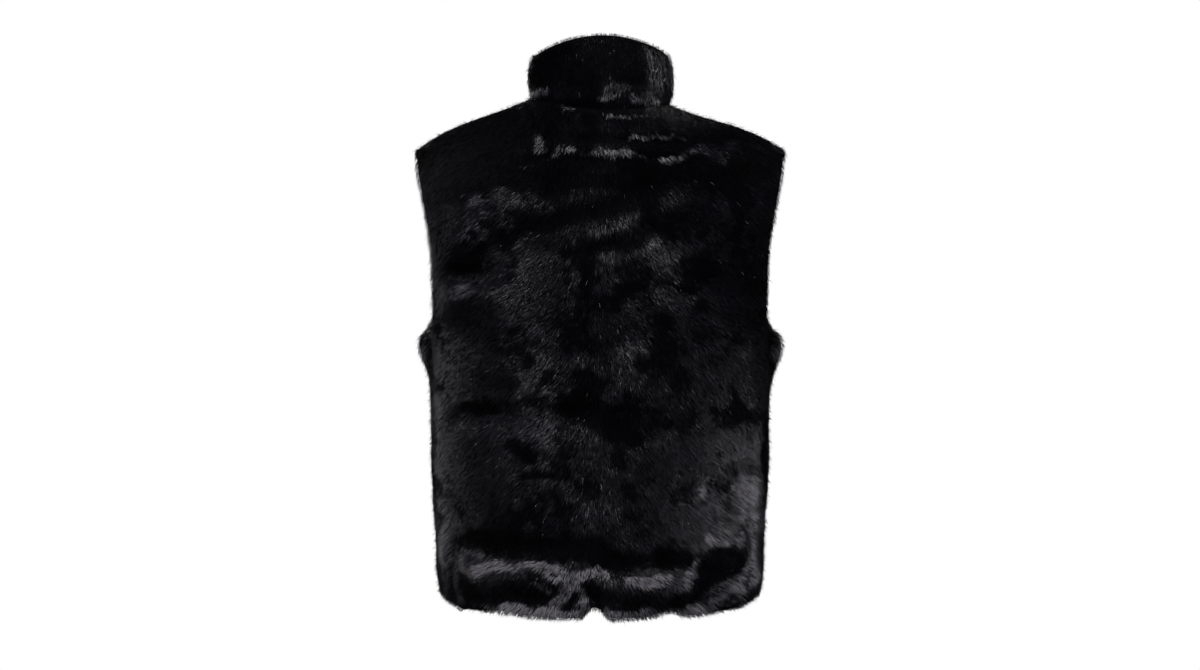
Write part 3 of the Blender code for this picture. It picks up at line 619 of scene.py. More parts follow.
def section(mid_y, mid_z, edge_x, edge_y, edge_z, turn_deg, s, start_x):
    """A section across a panel, for s from 0 in the middle to 1 or -1 at the edge."""
    turn = math.radians(turn_deg)
    side = np.sign(s.sum()) if start_x else 1.0
    x = side * start_x + (edge_x - start_x) * np.sin(s * turn) / math.sin(turn)
    y = edge_y + (mid_y - edge_y) * (np.cos(s * turn) - math.cos(turn)) / (1 - math.cos(turn))
    z = mid_z + (edge_z - mid_z) * np.abs(s) ** SECTION_FLATNESS
    return np.stack([x, y, z], axis=-1)


def side_heights():
    """How far up from the hem each section below the armholes lies."""
    return np.array([level.edge_z - SIDE_LEVELS[0].edge_z for level in SIDE_LEVELS])


def side_rows():
    """Row heights from the hem to the underarm, close together at the turned hem."""
    underarm = side_heights()[-1]
    even = np.linspace(0, underarm, round(underarm / ROW_STEP) + 1)[1:]
    return np.array([0.0, *EDGE_ROWS, *even[even > EDGE_ROWS[-1] + ROW_CLEAR]])


def side_seam(side):
    """Outer and inner points of a side seam, from the hem to the underarm."""
    levels = np.array([[(level.edge_x, level.edge_y, level.edge_z)] for level in SIDE_LEVELS])
    outer = through(levels, side_heights(), side_rows())[:, 0]
    inner = outer - [BODY_WALL, 0, 0]
    outer[:, 0] -= edge_dip(side_rows())
    return outer * [side, 1, 1], inner * [side, 1, 1]


def panel_surface(s, is_back):
    """A panel's plain surface as rows of points, and the rows' heights above the hem."""
    start_x = 0.0 if is_back else OPENING_HALF
    levels = []
    for level in SIDE_LEVELS:
        middle = (level.back_y, level.back_z) if is_back else (level.front_y, level.front_z)
        edge = (level.edge_x, level.edge_y, level.edge_z)
        levels.append(section(*middle, *edge, SIDE_TURN_DEG, s, start_x))
    arm_levels = BACK_LEVELS if is_back else FRONT_LEVELS
    for level in arm_levels:
        levels.append(section(*level, s, start_x))

    rises = np.diff([SIDE_LEVELS[-1].edge_z, *(level.edge_z for level in arm_levels)])
    underarm = side_heights()[-1]
    heights = np.concatenate([side_heights(), underarm + np.cumsum(rises)])
    arm_count = round((heights[-1] - underarm) / ROW_STEP)
    arm_rows = np.linspace(underarm, heights[-1], arm_count + 1)[1:]
    rows = np.concatenate([side_rows(), arm_rows])
    body = through(np.stack(levels), heights, rows)

    top, _ = panel_top(s, is_back)
    base = body[-1]
    chord = np.linalg.norm(top - base, axis=1, keepdims=True) * CAP_FULLNESS
    lean = smoothstep(np.abs(s) / NECK_SHARE)[:, None]
    neck_run = np.array(BACK_NECK_RUN if is_back else FRONT_NECK_RUN)
    shoulder_run = np.array([0.0, -SHOULDER_RUN_Y if is_back else SHOULDER_RUN_Y, SHOULDER_RUN_Z])
    end_run = unit(neck_run * (1 - lean) + shoulder_run * lean) * chord
    start_run = unit(levels[-1] - levels[-2]) * chord
    t = np.linspace(0, 1, CAP_ROWS + 1)[1:]
    cap = np.stack([hermite(base, start_run, top, end_run, value) for value in t])
    cap_rows = rows[-1] + t * np.linalg.norm(top - base, axis=1).mean()
    return np.concatenate([body, cap]), np.concatenate([rows, cap_rows])


def underarm_push(grid, s):
    """How far a front's corner stands out at the underarm."""
    push = np.zeros(grid.shape[:2])
    for corner in UNDERARM_CORNERS:
        rise = grid[..., 2] - corner.z
        reach = np.where(rise > 0, corner.up, corner.down)
        across = bell(np.abs(s) - CORNER_S, CORNER_S_HALF) * (np.sign(s) == corner.side)
        push += corner.height * bell(rise, reach) * across
    return push


def distances_along(grid):
    """How far along its row each point of a grid lies from the first column, and from the last."""
    steps = np.linalg.norm(np.diff(grid, axis=1), axis=2)
    first = np.concatenate([np.zeros((len(grid), 1)), np.cumsum(steps, axis=1)], axis=1)
    return first, first[:, -1:] - first


def panel_walls(s, is_back):
    """Outer and inner grids of a panel, and how far its points are from its turned edges."""
    grid, rows = panel_surface(s, is_back)
    underarm = side_heights()[-1]
    scallops = BACK_SCALLOPS if is_back else FRONT_SCALLOPS
    drawn_up = sum(cut.rise * bell(grid[0, :, 0] - cut.x, cut.width) for cut in scallops)
    fade = 1 - smoothstep(rows / SCALLOP_REACH)
    grid[..., 2] += fade[:, None] * drawn_up * (1 - np.abs(s) ** SCALLOP_FLATNESS)

    push = fold_push(grid[..., 0], grid[..., 2], BACK_FOLDS if is_back else FRONT_FOLDS)
    if not is_back:
        push += underarm_push(grid, s)
    off_side = 1 - smoothstep((np.abs(s) - FOLD_FADE_S) / (1 - FOLD_FADE_S))
    off_top = smoothstep((rows[-1] - rows) / FOLD_FADE_TOP)
    grid = grid + normals_of(grid) * (push * off_side * off_top[:, None])[..., None]

    from_first, from_last = distances_along(grid)
    above = smoothstep((rows - underarm) / SEAM_TURN_REACH)[:, None]
    to_seam = (1 - above) * (1 - off_side)
    sideways = np.sign(s)[:, None] * np.array([1.0, 0.0, 0.0])
    normal = normals_of(grid)
    normal = unit(normal + (sideways - normal) * to_seam[..., None])
    inner = grid - normal * BODY_WALL
    dip = np.maximum(edge_dip(rows)[:, None], edge_dip(from_last) * above)
    dip = np.maximum(dip, edge_dip(from_first) * (above if is_back else 1.0))
    outer = grid - normal * dip[..., None]

    seam_rows = len(side_rows())
    for column in (0, -1):
        if abs(s[column]) == 1:
            outer[:seam_rows, column], inner[:seam_rows, column] = side_seam(np.sign(s[column]))
    outer[-1], inner[-1] = panel_top(s, is_back)
    for walls in (outer, inner):
        if not is_back:
            keep_opening(walls, np.sign(s.sum()), s != 0)
            walls[:, 0, 0] = np.sign(s.sum()) * OPENING_HALF
        set_apart(walls, s, 1 if is_back else -1)

    short = HEM_SHORT * (1 - smoothstep(rows / HEM_SHORT_REACH))[:, None]
    for walls in (outer, inner):
        walls[..., 2] += short

    far = np.full(grid.shape[:2], FAR)
    first_edge = np.where(above > 0.5, from_first, far) if is_back else from_first
    last_edge = np.where(above > 0.5, from_last, far)
    return outer, inner, normal, (first_edge, last_edge, rows[:, None] + 0 * far, far)


def set_apart(walls, s, way_y):
    """Moves a panel's sewn edges half a gap away from the pieces that they meet."""
    half = SEAM_GAP / 2
    sides = np.abs(s) == 1
    walls[:-1, sides, 1] += way_y * half
    walls[-1, np.abs(s) > NECK_SHARE - TINY, 1] += way_y * half
    walls[-1, np.abs(s) < NECK_SHARE + TINY, 2] -= half


def collar_angles():
    """The collar's columns: the neck columns of the back and of both fronts."""
    back = half_columns(False)
    front = half_columns(True)
    back = back[back <= NECK_SHARE + TINY] / NECK_SHARE * math.pi / 2
    front = front[front <= NECK_SHARE + TINY] / NECK_SHARE
    front = front_angle() + (math.pi / 2 - front_angle()) * front
    half = np.concatenate([back, front[::-1][1:]])
    return np.concatenate([-half[::-1], half[1:]])


def collar_surface():
    """The collar's plain outer surface, and how far up each row lies."""
    angles = collar_angles()
    heights = [ring.back_z - COLLAR_RINGS[0].back_z for ring in COLLAR_RINGS]
    top = heights[-1]
    even = np.linspace(0, top, round(top / COLLAR_ROW_STEP) + 1)[:-1]
    edge = [top - step for step in reversed(EDGE_ROWS)]
    rows = np.array([*even[even < edge[0] - ROW_CLEAR], *edge, top])
    levels = np.stack([ring_points(ring, angles) for ring in COLLAR_RINGS])
    return through(levels, heights, rows), rows


def collar_walls():
    """Outer and inner grids of the collar, and how far its points are from its turned edges."""
    grid, rows = collar_surface()
    angles = collar_angles()
    middle = (0.0, RING_MIDDLE_Y, 0.0)
    at_back = smoothstep(np.cos(angles) * COLLAR_FOLD_END)
    push = fold_push(grid[..., 0], grid[..., 2], COLLAR_FOLDS) * at_back
    grid = grid + normals_of(grid, middle) * push[..., None]
    normal = normals_of(grid, middle)
    from_first, from_last = distances_along(grid)
    to_top = edge_dip(rows[-1] - rows)[:, None]
    outer_dip = np.maximum(to_top, edge_dip(np.minimum(from_first, from_last)))
    outer = grid - normal * outer_dip[..., None]
    inner = grid - normal * (COLLAR_WALL - to_top)[..., None]
    outer[0], inner[0] = neck_seam(angles)
    for walls in (outer, inner):
        for side, column in ((-1, 0), (1, -1)):
            keep_opening(walls, side, side * angles > math.pi / 2)
            walls[:, column, 0] = side * OPENING_HALF
        walls[0, :, 2] += SEAM_GAP / 2
    far = np.full(grid.shape[:2], FAR)
    return outer, inner, normal, (from_first, from_last, far, (rows[-1] - rows)[:, None] + 0 * far)


def wall_faces(row_count, column_count):
    """Faces of a closed wall: of its outer grid, its inner grid, and the strips along its edges."""
    count = row_count * column_count
    index = np.arange(count).reshape(row_count, column_count)
    quads = np.stack([index[:-1, :-1], index[:-1, 1:], index[1:, 1:], index[1:, :-1]], axis=-1)
    quads = quads.reshape(-1, 4)
    strips = []
    for line in (index[0], index[-1][::-1], index[:, 0][::-1], index[:, -1]):
        strips.append(np.stack([line[1:], line[:-1], line[:-1] + count, line[1:] + count], axis=-1))
    return quads, (quads + count)[:, ::-1], np.concatenate(strips)


def new_object(name, vertices, faces, materials, indices=None, smooth=True):
    mesh = bpy.data.meshes.new(name)
    mesh.from_pydata(vertices, [], faces)
    for material in materials:
        mesh.materials.append(material)
    if indices is not None:
        mesh.polygons.foreach_set("material_index", indices)
    mesh.polygons.foreach_set("use_smooth", np.full(len(mesh.polygons), smooth))
    mesh.update()
    piece = bpy.data.objects.new(name, mesh)
    bpy.context.scene.collection.objects.link(piece)
    return piece


def add_shell(name, outer, inner, materials):
    """Backing and undercoat as one thin closed shell. Its inner face is the backing."""
    vertices = np.concatenate([outer.reshape(-1, 3), inner.reshape(-1, 3)])
    quads, inner_quads, strips = wall_faces(*outer.shape[:2])
    if outward_volume(outer, quads) < 0:
        quads, inner_quads, strips = quads[:, ::-1], inner_quads[:, ::-1], strips[:, ::-1]
    faces = np.concatenate([quads, strips, inner_quads])
    indices = np.repeat([0, 1], [len(quads) + len(strips), len(inner_quads)])
    return new_object(name, vertices, faces, materials, indices)


def outward_volume(outer, quads):
    """More than 0 where the quads of the outer grid face away from the garment's middle."""
    points = outer.reshape(-1, 3)[quads]
    facing = np.cross(points[:, 2] - points[:, 0], points[:, 3] - points[:, 1])
    middle = outer.reshape(-1, 3).mean(axis=0) * [0.0, 0.0, 1.0]
    return (facing * (points.mean(axis=1) - middle)).sum()


def patch_noise(places, patch, seed):
    """Smooth uneven values, up to the patch's amount either way, over places along the cloth."""
    table = np.random.default_rng(seed).uniform(-1, 1, (NOISE_CELLS, NOISE_CELLS))
    scaled = places / patch.size
    cell = np.floor(scaled).astype(int)
    u, v = np.moveaxis(smoothstep(scaled - cell), -1, 0)
    i, j = np.moveaxis(cell % NOISE_CELLS, -1, 0)
    next_i, next_j = (i + 1) % NOISE_CELLS, (j + 1) % NOISE_CELLS
    near = table[i, j] * (1 - u) + table[next_i, j] * u
    far = table[i, next_j] * (1 - u) + table[next_i, next_j] * u
    return patch.amount * (near * (1 - v) + far * v)


def tuft_pull(places, tuft, seed):
    """How far each place is pulled to the middle of its tuft."""
    middles = np.random.default_rng(seed).uniform(TUFT_LEAST, TUFT_MOST, (NOISE_CELLS, NOISE_CELLS, 2))
    cell = np.floor(places / tuft.size).astype(int)
    best = np.full(len(places), np.inf)
    pull = np.zeros_like(places)
    for i in (-1, 0, 1):
        for j in (-1, 0, 1):
            near = cell + (i, j)
            row, column = (near % NOISE_CELLS).T
            way = (near + middles[row, column]) * tuft.size - places
            distance = (way**2).sum(axis=1)
            closer = distance < best
            best = np.where(closer, distance, best)
            pull[closer] = way[closer]
    return pull * tuft.amount


def layered(noise, places, patches, seed):
    """The sum of one kind of noise over patches of several sizes."""
    return sum(noise(places, patch, seed + layer) for layer, patch in enumerate(patches))


def pile_fields(root, normal, edges, turn):
    """Grids that strands are read from: their roots, how they lean, and their place on the cloth."""
    along, across = unit(np.gradient(root, axis=0)), unit(np.gradient(root, axis=1))
    up = normal.copy()
    first, last, bottom, top = edges
    for distance, way in ((first, -across), (last, across), (bottom, -along), (top, along)):
        up = up + way * (EDGE_TURN * (1 - smoothstep(distance / EDGE_REACH)))[..., None]
    stand = RIM_RISE_DEG * (1 - smoothstep(top / EDGE_REACH))
    stand += SIDE_RISE_DEG * (1 - smoothstep(np.minimum(first, last) / EDGE_REACH))
    from_first, _ = distances_along(root)
    centre = from_first[:, from_first.shape[1] // 2][:, None]
    steps = np.linalg.norm(np.diff(root, axis=0), axis=2).mean(axis=1)
    heights = np.concatenate([[0], np.cumsum(steps)])[:, None] + 0 * from_first
    place = np.stack([from_first - centre, heights], axis=-1) + PLACE_START
    return {"root": root, "up": unit(up), "across": across, "along": along, "place": place,
            "turn": turn[..., None], "stand": stand[..., None]}


def read_grid(grid, row, column, u, v):
    low = grid[row, column] * (1 - u) + grid[row, column + 1] * u
    high = grid[row + 1, column] * (1 - u) + grid[row + 1, column + 1] * u
    return low * (1 - v) + high * v


def scatter(fields, density, rng):
    """The grids' values at random places, so many to each square metre."""
    root = fields["root"]
    diagonals = np.cross(root[1:, 1:] - root[:-1, :-1], root[1:, :-1] - root[:-1, 1:])
    areas = np.linalg.norm(diagonals, axis=2).ravel() / 2
    count = round(areas.sum() * density)
    cell = np.searchsorted(np.cumsum(areas) / areas.sum(), rng.random(count))
    row, column = np.divmod(np.clip(cell, 0, len(areas) - 1), root.shape[1] - 1)
    u, v = rng.random((2, count, 1))
    return {name: read_grid(grid, row, column, u, v) for name, grid in fields.items()}


def nap_lift_and_painted_light(x, z, place, brushes, seed):
    """How far the pile is lifted from its usual lie, in degrees, by brush marks and by soft clouds.
    The same lift paints shade and sheen into the fibre's colour.
    """
    for layer, ragged in enumerate(BRUSH_RAGGED):
        x = x + patch_noise(place, ragged, seed + RAGGED_SEED + 2 * layer)
        z = z + patch_noise(place, ragged, seed + RAGGED_SEED + 2 * layer + 1)
    lift = np.zeros_like(x)
    for brush in brushes:
        away = distance_to(brush, x, z) / brush.half
        lift += (brush.lift_deg - lift) * (1 - smoothstep(away - BRUSH_CORE))
    clouds = layered(patch_noise, place, NAP_CLOUDS, seed + CLOUD_SEED)
    return lift + np.interp(clouds, CLOUD_VALUES, CLOUD_LIFTS_DEG)


def pile_strands(fields, brushes, density, long, seed):
    """Each strand's points, from root over two sides to tip, their normals, and its painted light:
    the shade or sheen that is painted into its colour.
    """
    rng = np.random.default_rng(seed)
    at = scatter(fields, density, rng)
    place, stand = at["place"], at["stand"]
    count = len(place)
    across, along, up = unit(at["across"]), unit(at["along"]), unit(at["up"])
    turn = at["turn"][:, 0] + patch_noise(place, TURN_PATCH, seed + TURN_SEED)
    turn += rng.normal(0, TURN_SPREAD, count)
    comb = unit(-along * np.cos(turn)[:, None] + across * np.sin(turn)[:, None])
    comb = unit(comb - up * (comb * up).sum(axis=1, keepdims=True) * COMB_ON_CLOTH)
    drawn = layered(tuft_pull, place, TUFTS, seed + TUFT_SEED)
    pull = across * drawn[:, :1] + along * drawn[:, 1:]

    size = 1 + patch_noise(place, LONG_PATCH, seed + LONG_SEED) + rng.normal(0, LONG_SPREAD, count)
    size = long * np.clip(size, LONG_LEAST, LONG_MOST)[:, None]
    size *= 1 - STAND_SHORT * stand / RIM_RISE_DEG
    seen = at["root"] + comb * size * 0.5
    lift = nap_lift_and_painted_light(seen[:, 0], seen[:, 2], place, brushes, seed)
    stray = WILD_RISE_DEG * (rng.random(count) < WILD_SHARE) + rng.normal(0, RISE_SPREAD_DEG, count)
    stray += stand[:, 0]
    bent = np.clip(lift, BEND_LEAST_DEG, BEND_MOST_DEG)
    rise = np.radians(ROOT_RISE_DEG + bent * ROOT_BEND_SHARE + stray)[:, None]
    tip_rise = np.radians(TIP_RISE_DEG + bent * TIP_BEND_SHARE + stray)[:, None]
    start = at["root"] - up * ROOT_DEPTH
    middle = start + size * 0.5 * (np.cos(rise) * comb + np.sin(rise) * up) + pull * MIDDLE_PULL
    tip = middle + size * 0.5 * (np.cos(tip_rise) * comb + np.sin(tip_rise) * up) + pull * TIP_PULL

    run = unit(tip - start)
    flat_side = unit(np.cross(run, up))
    twist = np.radians(rng.uniform(-TWIST_DEG, TWIST_DEG, count))[:, None]
    side = flat_side * np.cos(twist) + np.cross(run, flat_side) * np.sin(twist)
    side *= STRAND_WIDE * 0.5 * rng.uniform(WIDE_LEAST, WIDE_MOST, (count, 1))
    blades = np.stack([start, middle - side, middle + side, tip], axis=1)

    # Strays bend, but they are lit as the rest, so that no single strand glints.
    slope = np.degrees(np.arcsin(np.clip(up[:, 2], -1, 1)))
    lean = LIT_LEAN_DEG + lift - SLOPE_HIDDEN * slope + rng.normal(0, LEAN_SPREAD_DEG, count)
    lean += rng.normal(0, GLINT_DEG, count) * (rng.random(count) < GLINT_SHARE)
    leans = (np.radians(lean * share)[:, None] for share in (LOW_LEAN, HIGH_LEAN))
    low, high = (np.cos(lean) * up - np.sin(lean) * comb for lean in leans)
    belly = unit(low + high)
    normals = [low, belly - flat_side * ROUND_SHARE, belly + flat_side * ROUND_SHARE, high]
    # Painted shade and sheen: the lift sets how dark or light the fibre's colour is.
    painted_light_level = np.clip(0.5 + (lift + rng.normal(0, PAINTED_LIGHT_SPREAD_DEG, count)) / PAINTED_LIGHT_SPAN_DEG, 0, 1)
    return blades, unit(np.stack(normals, axis=1)), painted_light_level


def add_pile(name, strands, material):
    """Pile pieces, each of no more than a set number of strands. Pile pieces, each under the limit on
    triangles. Strands go to them by chance, not by place.
    """
    blades, normals, painted_light_levels = (np.concatenate(parts) for parts in zip(*strands))
    pieces = []
    parts = math.ceil(len(blades) / STRANDS_A_PIECE)
    for part in range(parts):
        own = blades[part::parts]
        first = np.arange(len(own))[:, None] * 4
        faces = np.concatenate([first + (0, 2, 1), first + (1, 2, 3)], axis=1).reshape(-1, 3)
        piece = new_object(f"{name}_{part + 1}", own.reshape(-1, 3), faces, [material])
        piece.data.normals_split_custom_set_from_vertices(normals[part::parts].reshape(-1, 3))
        # each strand's painted shade and sheen, which the fibre's colour reads
        painted_shade_and_sheen = piece.data.attributes.new("painted_shade_and_sheen", "FLOAT", "POINT")
        painted_shade_and_sheen.data.foreach_set("value", np.repeat(painted_light_levels[part::parts], 4).astype(np.float32))
        pieces.append(piece)
    return pieces


def set_inputs(node, inputs):
    """Sets inputs of a node. A _ stands for a space in an input's name."""
    for name, value in inputs.items():
        node.inputs[name.replace("_", " ")].default_value = value


def add_node(tree, kind, **inputs):
    node = tree.nodes.new(f"ShaderNode{kind}")
    set_inputs(node, inputs)
    return node


def start_material(name, **inputs):
    """A new material, with its shader's inputs set, and its node tree."""
    material = bpy.data.materials.new(name)
    material.use_nodes = True
    set_inputs(shader_of(material.node_tree), inputs)
    return material, material.node_tree


def shader_of(tree):
    return tree.nodes["Principled BSDF"]


def join(source, output, target, entry):
    source.id_data.links.new(source.outputs[output], target.inputs[entry])


def add_texture(tree, kind, stretch=(1, 1, 1), **inputs):
    """A texture in the object's own space."""
    texture = add_node(tree, f"Tex{kind}", **inputs)
    mapping = add_node(tree, "Mapping", Scale=stretch)
    join(add_node(tree, "TexCoord"), "Object", mapping, "Vector")
    join(mapping, "Vector", texture, "Vector")
    return texture


def colour_by(source, output, first, last, *between):
    """Colours the material by a node's output. Each stop is a position and a colour."""
    tree = source.id_data
    ramp = add_node(tree, "ValToRGB")
    stops = ramp.color_ramp.elements
    for stop, (position, colour) in ((stops[0], first), (stops[1], last)):
        stop.position, stop.color = position, (*colour, 1)
    for position, colour in between:
        stops.new(position).color = (*colour, 1)
    join(source, output, ramp, "Fac")
    join(ramp, "Color", shader_of(tree), "Base Color")


def roughen_by(source, output, low, high):
    """Sets the material's roughness between two values by a node's output."""
    span = add_node(source.id_data, "MapRange", To_Min=low, To_Max=high)
    join(source, output, span, "Value")
    join(span, "Result", shader_of(source.id_data), "Roughness")


def bump_by(source, output, **inputs):
    bump = add_node(source.id_data, "Bump", **inputs)
    join(source, output, bump, "Height")
    join(bump, "Normal", shader_of(source.id_data), "Normal")


def pile_material():
    """Glossy black fibre, with shade and sheen painted into its colour by each strand's lift, and a
    little warmer and lighter in soft patches.
    """
    material, tree = start_material("pile_fibre_painted_sheen", IOR=1.5, Specular_Tint=(0.96, 0.94, 1.0, 1))
    painted_shade_and_sheen = add_node(tree, "Attribute")
    painted_shade_and_sheen.attribute_name = "painted_shade_and_sheen"
    both = add_node(tree, "Math")
    both.operation = "MULTIPLY_ADD"
    both.inputs[1].default_value = FIBRE_CLOUDS
    join(add_texture(tree, "Noise", Scale=14, Detail=4), "Fac", both, 0)
    join(painted_shade_and_sheen, "Fac", both, 2)
    # painted shade at the dark end, painted sheen up to pale grey at the light end
    colour_by(both, "Value", (0.40, (0.0008, 0.0008, 0.0026)), (1.0, (0.15, 0.14, 0.162)),
              (0.78, (0.0088, 0.0086, 0.013)))
    roughen_by(add_texture(tree, "Noise", Scale=60), "Fac", 0.28, 0.38)
    return material


def undercoat_material():
    """Dense short undercoat, nearly black, with a fine grain that runs down."""
    material, tree = start_material("undercoat", Roughness=0.85, Specular_IOR_Level=0.05)
    grain = add_texture(tree, "Noise", stretch=(900, 900, 160), Scale=1, Detail=3)
    colour_by(grain, "Fac", (0, (0.0003, 0.0003, 0.0007)), (1, (0.0013, 0.0013, 0.0023)))
    bump_by(grain, "Fac", Distance=0.0012)
    return material


def backing_material():
    """Knitted backing: small loops in rows, dull black."""
    material, tree = start_material("knit_backing", Roughness=0.8, Sheen_Weight=0.2)
    clouds = add_texture(tree, "Noise", Scale=25)
    colour_by(clouds, "Fac", (0, (0.010, 0.010, 0.011)), (1, (0.022, 0.021, 0.023)))
    bump_by(add_texture(tree, "Voronoi", Scale=900), "Distance", Distance=0.0005, Strength=0.7)
    return material


def tape_material():
    """Woven zip tape with a fine rib."""
    material, tree = start_material("zip_tape_weave", Roughness=0.75)
    rib = add_texture(tree, "Wave", Scale=420, Distortion=0.6)
    rib.bands_direction = "Z"
    colour_by(rib, "Fac", (0, (0.006, 0.006, 0.007)), (1, (0.016, 0.016, 0.017)))
    bump_by(rib, "Fac", Distance=0.0003)
    return material


def hard_material(name, colour, worn, metallic, roughness):
    """Moulded or plated black, a little lighter and duller where it is rubbed."""
    material, tree = start_material(name, Metallic=metallic)
    rub = add_texture(tree, "Noise", Scale=180, Detail=5)
    colour_by(rub, "Fac", (0.40, colour), (0.75, worn))
    roughen_by(rub, "Fac", roughness, roughness + WORN_ROUGHER)
    return material


def zip_path(step):
    """The front edges' line from hem to collar top in Y and Z: points, unit runs, outward normals."""
    body, _ = panel_surface(half_columns(True), False)
    collar, _ = collar_surface()
    line = np.concatenate([body[:, 0, 1:], collar[1:, -1, 1:]])
    length = np.concatenate([[0], np.cumsum(np.linalg.norm(np.diff(line, axis=0), axis=1))])
    count = round((length[-1] - ZIP_BOTTOM_MARGIN - ZIP_TOP_MARGIN) / step)
    wanted = np.linspace(ZIP_BOTTOM_MARGIN, length[-1] - ZIP_TOP_MARGIN, count)
    line = np.stack([np.interp(wanted, length, values) for values in line.T], axis=1)
    run = unit(np.gradient(line, axis=0))
    return line, run, np.stack([-run[:, 1], run[:, 0]], axis=1)


def tube_faces(start, size, rings):
    """Faces of a closed bar of rings of points, each of one size, from the point numbered start."""
    end = start + size * rings
    faces = [tuple(range(start, start + size)), tuple(range(end - 1, end - 1 - size, -1))]
    for ring in range(start, end - size, size):
        for corner in range(size):
            one, other = ring + corner, ring + (corner + 1) % size
            faces.append((other, one, one + size, other + size))
    return faces


def add_zip(tape_weave, tooth_plastic):
    """Two tapes that meet under a row of moulded teeth."""
    line, _, normal = zip_path(TAPE_STEP)
    points, faces = [], []
    for side in (-1, 1):
        faces += tube_faces(len(points), len(TAPE_OUTLINE), len(line))
        for origin, out_way in zip(line, normal):
            points += [(side * across, *(origin + (out - TAPE_BACK_DEPTH) * out_way))
                       for across, out in TAPE_OUTLINE[::side]]
    tape = new_object("zip_tape", points, faces, [tape_weave], smooth=False)

    line, run, normal = zip_path(TOOTH_PITCH)
    foot = TAPE_THICK + TOOTH_CLEAR - TAPE_BACK_DEPTH
    points, faces = [], []
    for number, (origin, way, out_way) in enumerate(zip(line, run, normal)):
        side = 1 if number % 2 else -1
        faces += tube_faces(len(points), len(TOOTH_OUTLINE), 2)
        for end in (-0.5, 0.5):
            for across, out, along in TOOTH_OUTLINE:
                place = origin + end * TOOTH_LONG * along * way + (foot + out * TOOTH_HIGH) * out_way
                points.append((side * across * TOOTH_WIDE, *place))
    chain = new_object("zip_teeth", points, faces, [tooth_plastic], smooth=False)
    return tape, chain


def nap_turn(root, seed, amount):
    """How far the pile is brushed aside from straight down, in broad uneven patches."""
    place = root[..., ::2] + PLACE_START
    return amount * layered(patch_noise, place, NAP_TURNS, seed + NAP_SEED)


def dress_cloth():
    """Shell and pile for each cloth node."""
    half = half_columns(False)
    walls = {
        "back": panel_walls(np.concatenate([-half[::-1], half[1:]]), True),
        "front_left": panel_walls(half_columns(True), False),
        "front_right": panel_walls(-half_columns(True), False),
        "collar": collar_walls(),
    }
    marks = {"back": BACK_BRUSH_AND_PAINTED_LIGHT, "front_left": FRONT_BRUSH_AND_PAINTED_LIGHT, "front_right": FRONT_BRUSH_AND_PAINTED_LIGHT,
             "collar": COLLAR_BRUSH_AND_PAINTED_LIGHT}
    undercoat, backing, fibre = undercoat_material(), backing_material(), pile_material()
    for number, cut in enumerate(CUTS, 1):
        outer, inner, normal, edges = walls[cut.node]
        is_back, is_collar = cut.node == "back", cut.node == "collar"
        seed = SEEDS_A_NODE * number
        root = inner + (outer - inner) * (COLLAR_COAT_SHARE if is_collar else UNDERCOAT_SHARE)
        inside = undercoat if is_collar else backing
        shell = add_shell(f"{cut.node}_cloth", root, inner, [undercoat, inside])
        turn = nap_turn(root, seed, BACK_NAP_TURN if is_back else FRONT_NAP_TURN)
        if is_back:
            turn += SPREAD_TURN * np.tanh(root[..., 0] / SPREAD_X)
        long = STRAND_LONG * (COLLAR_LONG if is_collar else 1)
        fields = pile_fields(root, normal, edges, turn)
        strands = [pile_strands(fields, marks[cut.node], STRANDS_PER_SQUARE_METRE, long, seed)]
        if is_collar:
            # The collar's inner layer has pile too, shorter.
            far = np.full_like(turn, FAR)
            lining = pile_fields(inner, -normal, (far, far, far, edges[3]), turn)
            density = STRANDS_PER_SQUARE_METRE * LINING_DENSITY
            strands.append(pile_strands(lining, (), density, long * LINING_LONG, seed + LINING_SEED))
        pile = add_pile(f"{cut.node}_pile", strands, fibre)
        for piece in (shell, *pile):
            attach(piece, "garment")
        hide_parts(cut.node)


def dress_zip():
    tooth = hard_material("moulded_tooth", (0.008, 0.008, 0.009), worn=(0.03, 0.03, 0.032),
                          metallic=0, roughness=0.35)
    metal = hard_material("black_plating", (0.035, 0.035, 0.037), worn=(0.11, 0.11, 0.114),
                          metallic=1, roughness=0.30)
    tape, chain = add_zip(tape_material(), tooth)
    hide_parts("zip")
    for piece in (tape, chain):
        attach(piece, "garment")
    for name in ("zip_slider", "zip_pull"):
        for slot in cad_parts[name].material_slots:
            slot.material = metal


def add_light(light):
    data = bpy.data.lights.new(light.name, "AREA")
    data.shape = "RECTANGLE"
    data.size, data.size_y = light.size
    data.energy = light.watts
    data.spread = math.radians(light.spread_deg)
    lamp = bpy.data.objects.new(light.name, data)
    lamp.location = light.place
    lamp.rotation_euler = aim(np.subtract(light.target, light.place))
    bpy.context.scene.collection.objects.link(lamp)


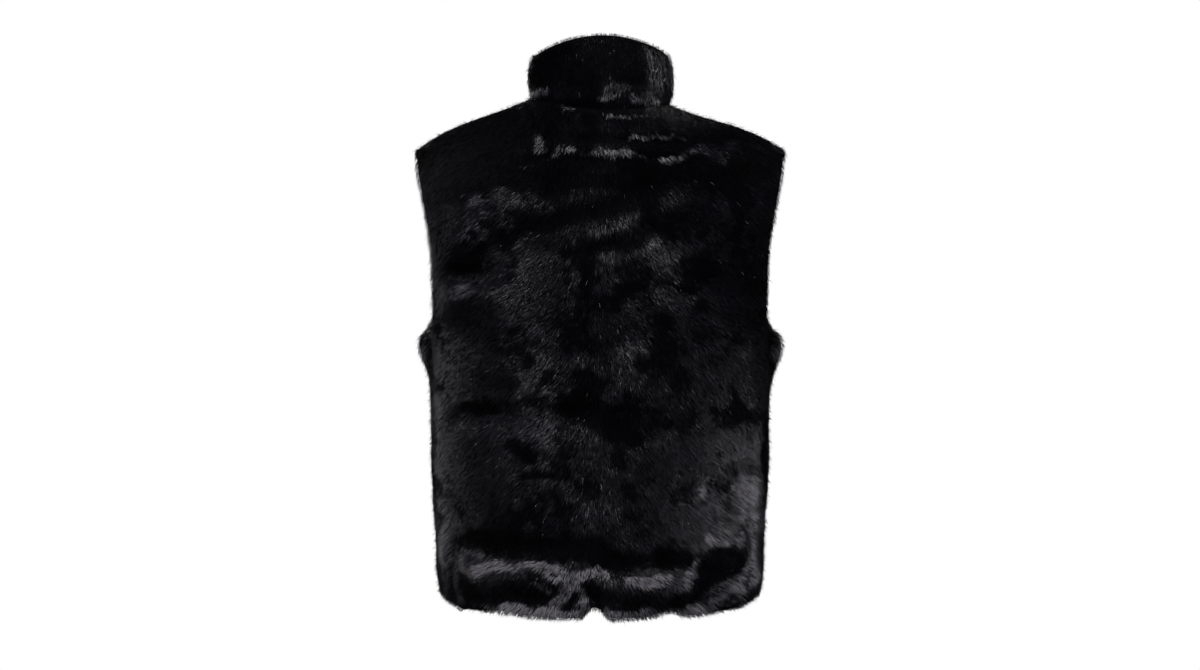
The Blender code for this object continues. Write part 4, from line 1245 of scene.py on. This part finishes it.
def aim(way):
    """Rotation that points an object's -Z along a way, with its X level."""
    level = math.hypot(way[0], way[1])
    return (math.atan2(level, -way[2]), 0.0, math.atan2(way[1], way[0]) - math.pi / 2)


def add_stage():
    """Floor, world, lights and camera."""
    paint, tree = start_material("pale_floor", Roughness=0.7)
    speck = add_node(tree, "TexNoise", Scale=3)
    colour_by(speck, "Fac", (0, (0.86, 0.86, 0.86)), (1, (0.92, 0.92, 0.92)))
    turns = np.linspace(0, 2 * math.pi, FLOOR_SIDES + 1)[:-1]
    rim = [(FLOOR_RADIUS * math.cos(turn), FLOOR_RADIUS * math.sin(turn), FLOOR_Z) for turn in turns]
    floor = new_object("floor", rim, [tuple(range(FLOOR_SIDES))], [paint], smooth=False)
    floor.visible_glossy = False  # a pale floor would light the pile from below

    world = bpy.data.worlds.new("studio")
    world.use_nodes = True
    mix = add_node(world.node_tree, "Mix")
    mix.data_type = "RGBA"
    mix.inputs["A"].default_value, mix.inputs["B"].default_value = WORLD_GLOW, WORLD_SEEN
    join(add_node(world.node_tree, "LightPath"), "Is Camera Ray", mix, "Factor")
    join(mix, "Result", world.node_tree.nodes["Background"], "Color")
    bpy.context.scene.world = world

    for light in LIGHTS:
        add_light(light)

    camera_data = bpy.data.cameras.new("photo_camera")
    camera_data.lens = LENS_MM
    camera_data.sensor_width = SENSOR_MM
    camera = bpy.data.objects.new("photo_camera", camera_data)
    camera.location = CAMERA_PLACE
    camera.rotation_euler = aim((0, -1, 0))
    bpy.context.scene.collection.objects.link(camera)
    bpy.context.scene.camera = camera
    bpy.context.scene.view_settings.view_transform = "Standard"


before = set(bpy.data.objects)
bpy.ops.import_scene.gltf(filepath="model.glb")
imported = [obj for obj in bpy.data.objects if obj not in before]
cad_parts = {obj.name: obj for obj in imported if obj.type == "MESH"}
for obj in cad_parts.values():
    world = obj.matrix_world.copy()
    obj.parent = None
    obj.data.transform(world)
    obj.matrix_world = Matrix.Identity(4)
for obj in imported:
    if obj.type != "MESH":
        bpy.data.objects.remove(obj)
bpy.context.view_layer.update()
add_stage()
dress_cloth()
dress_zip()
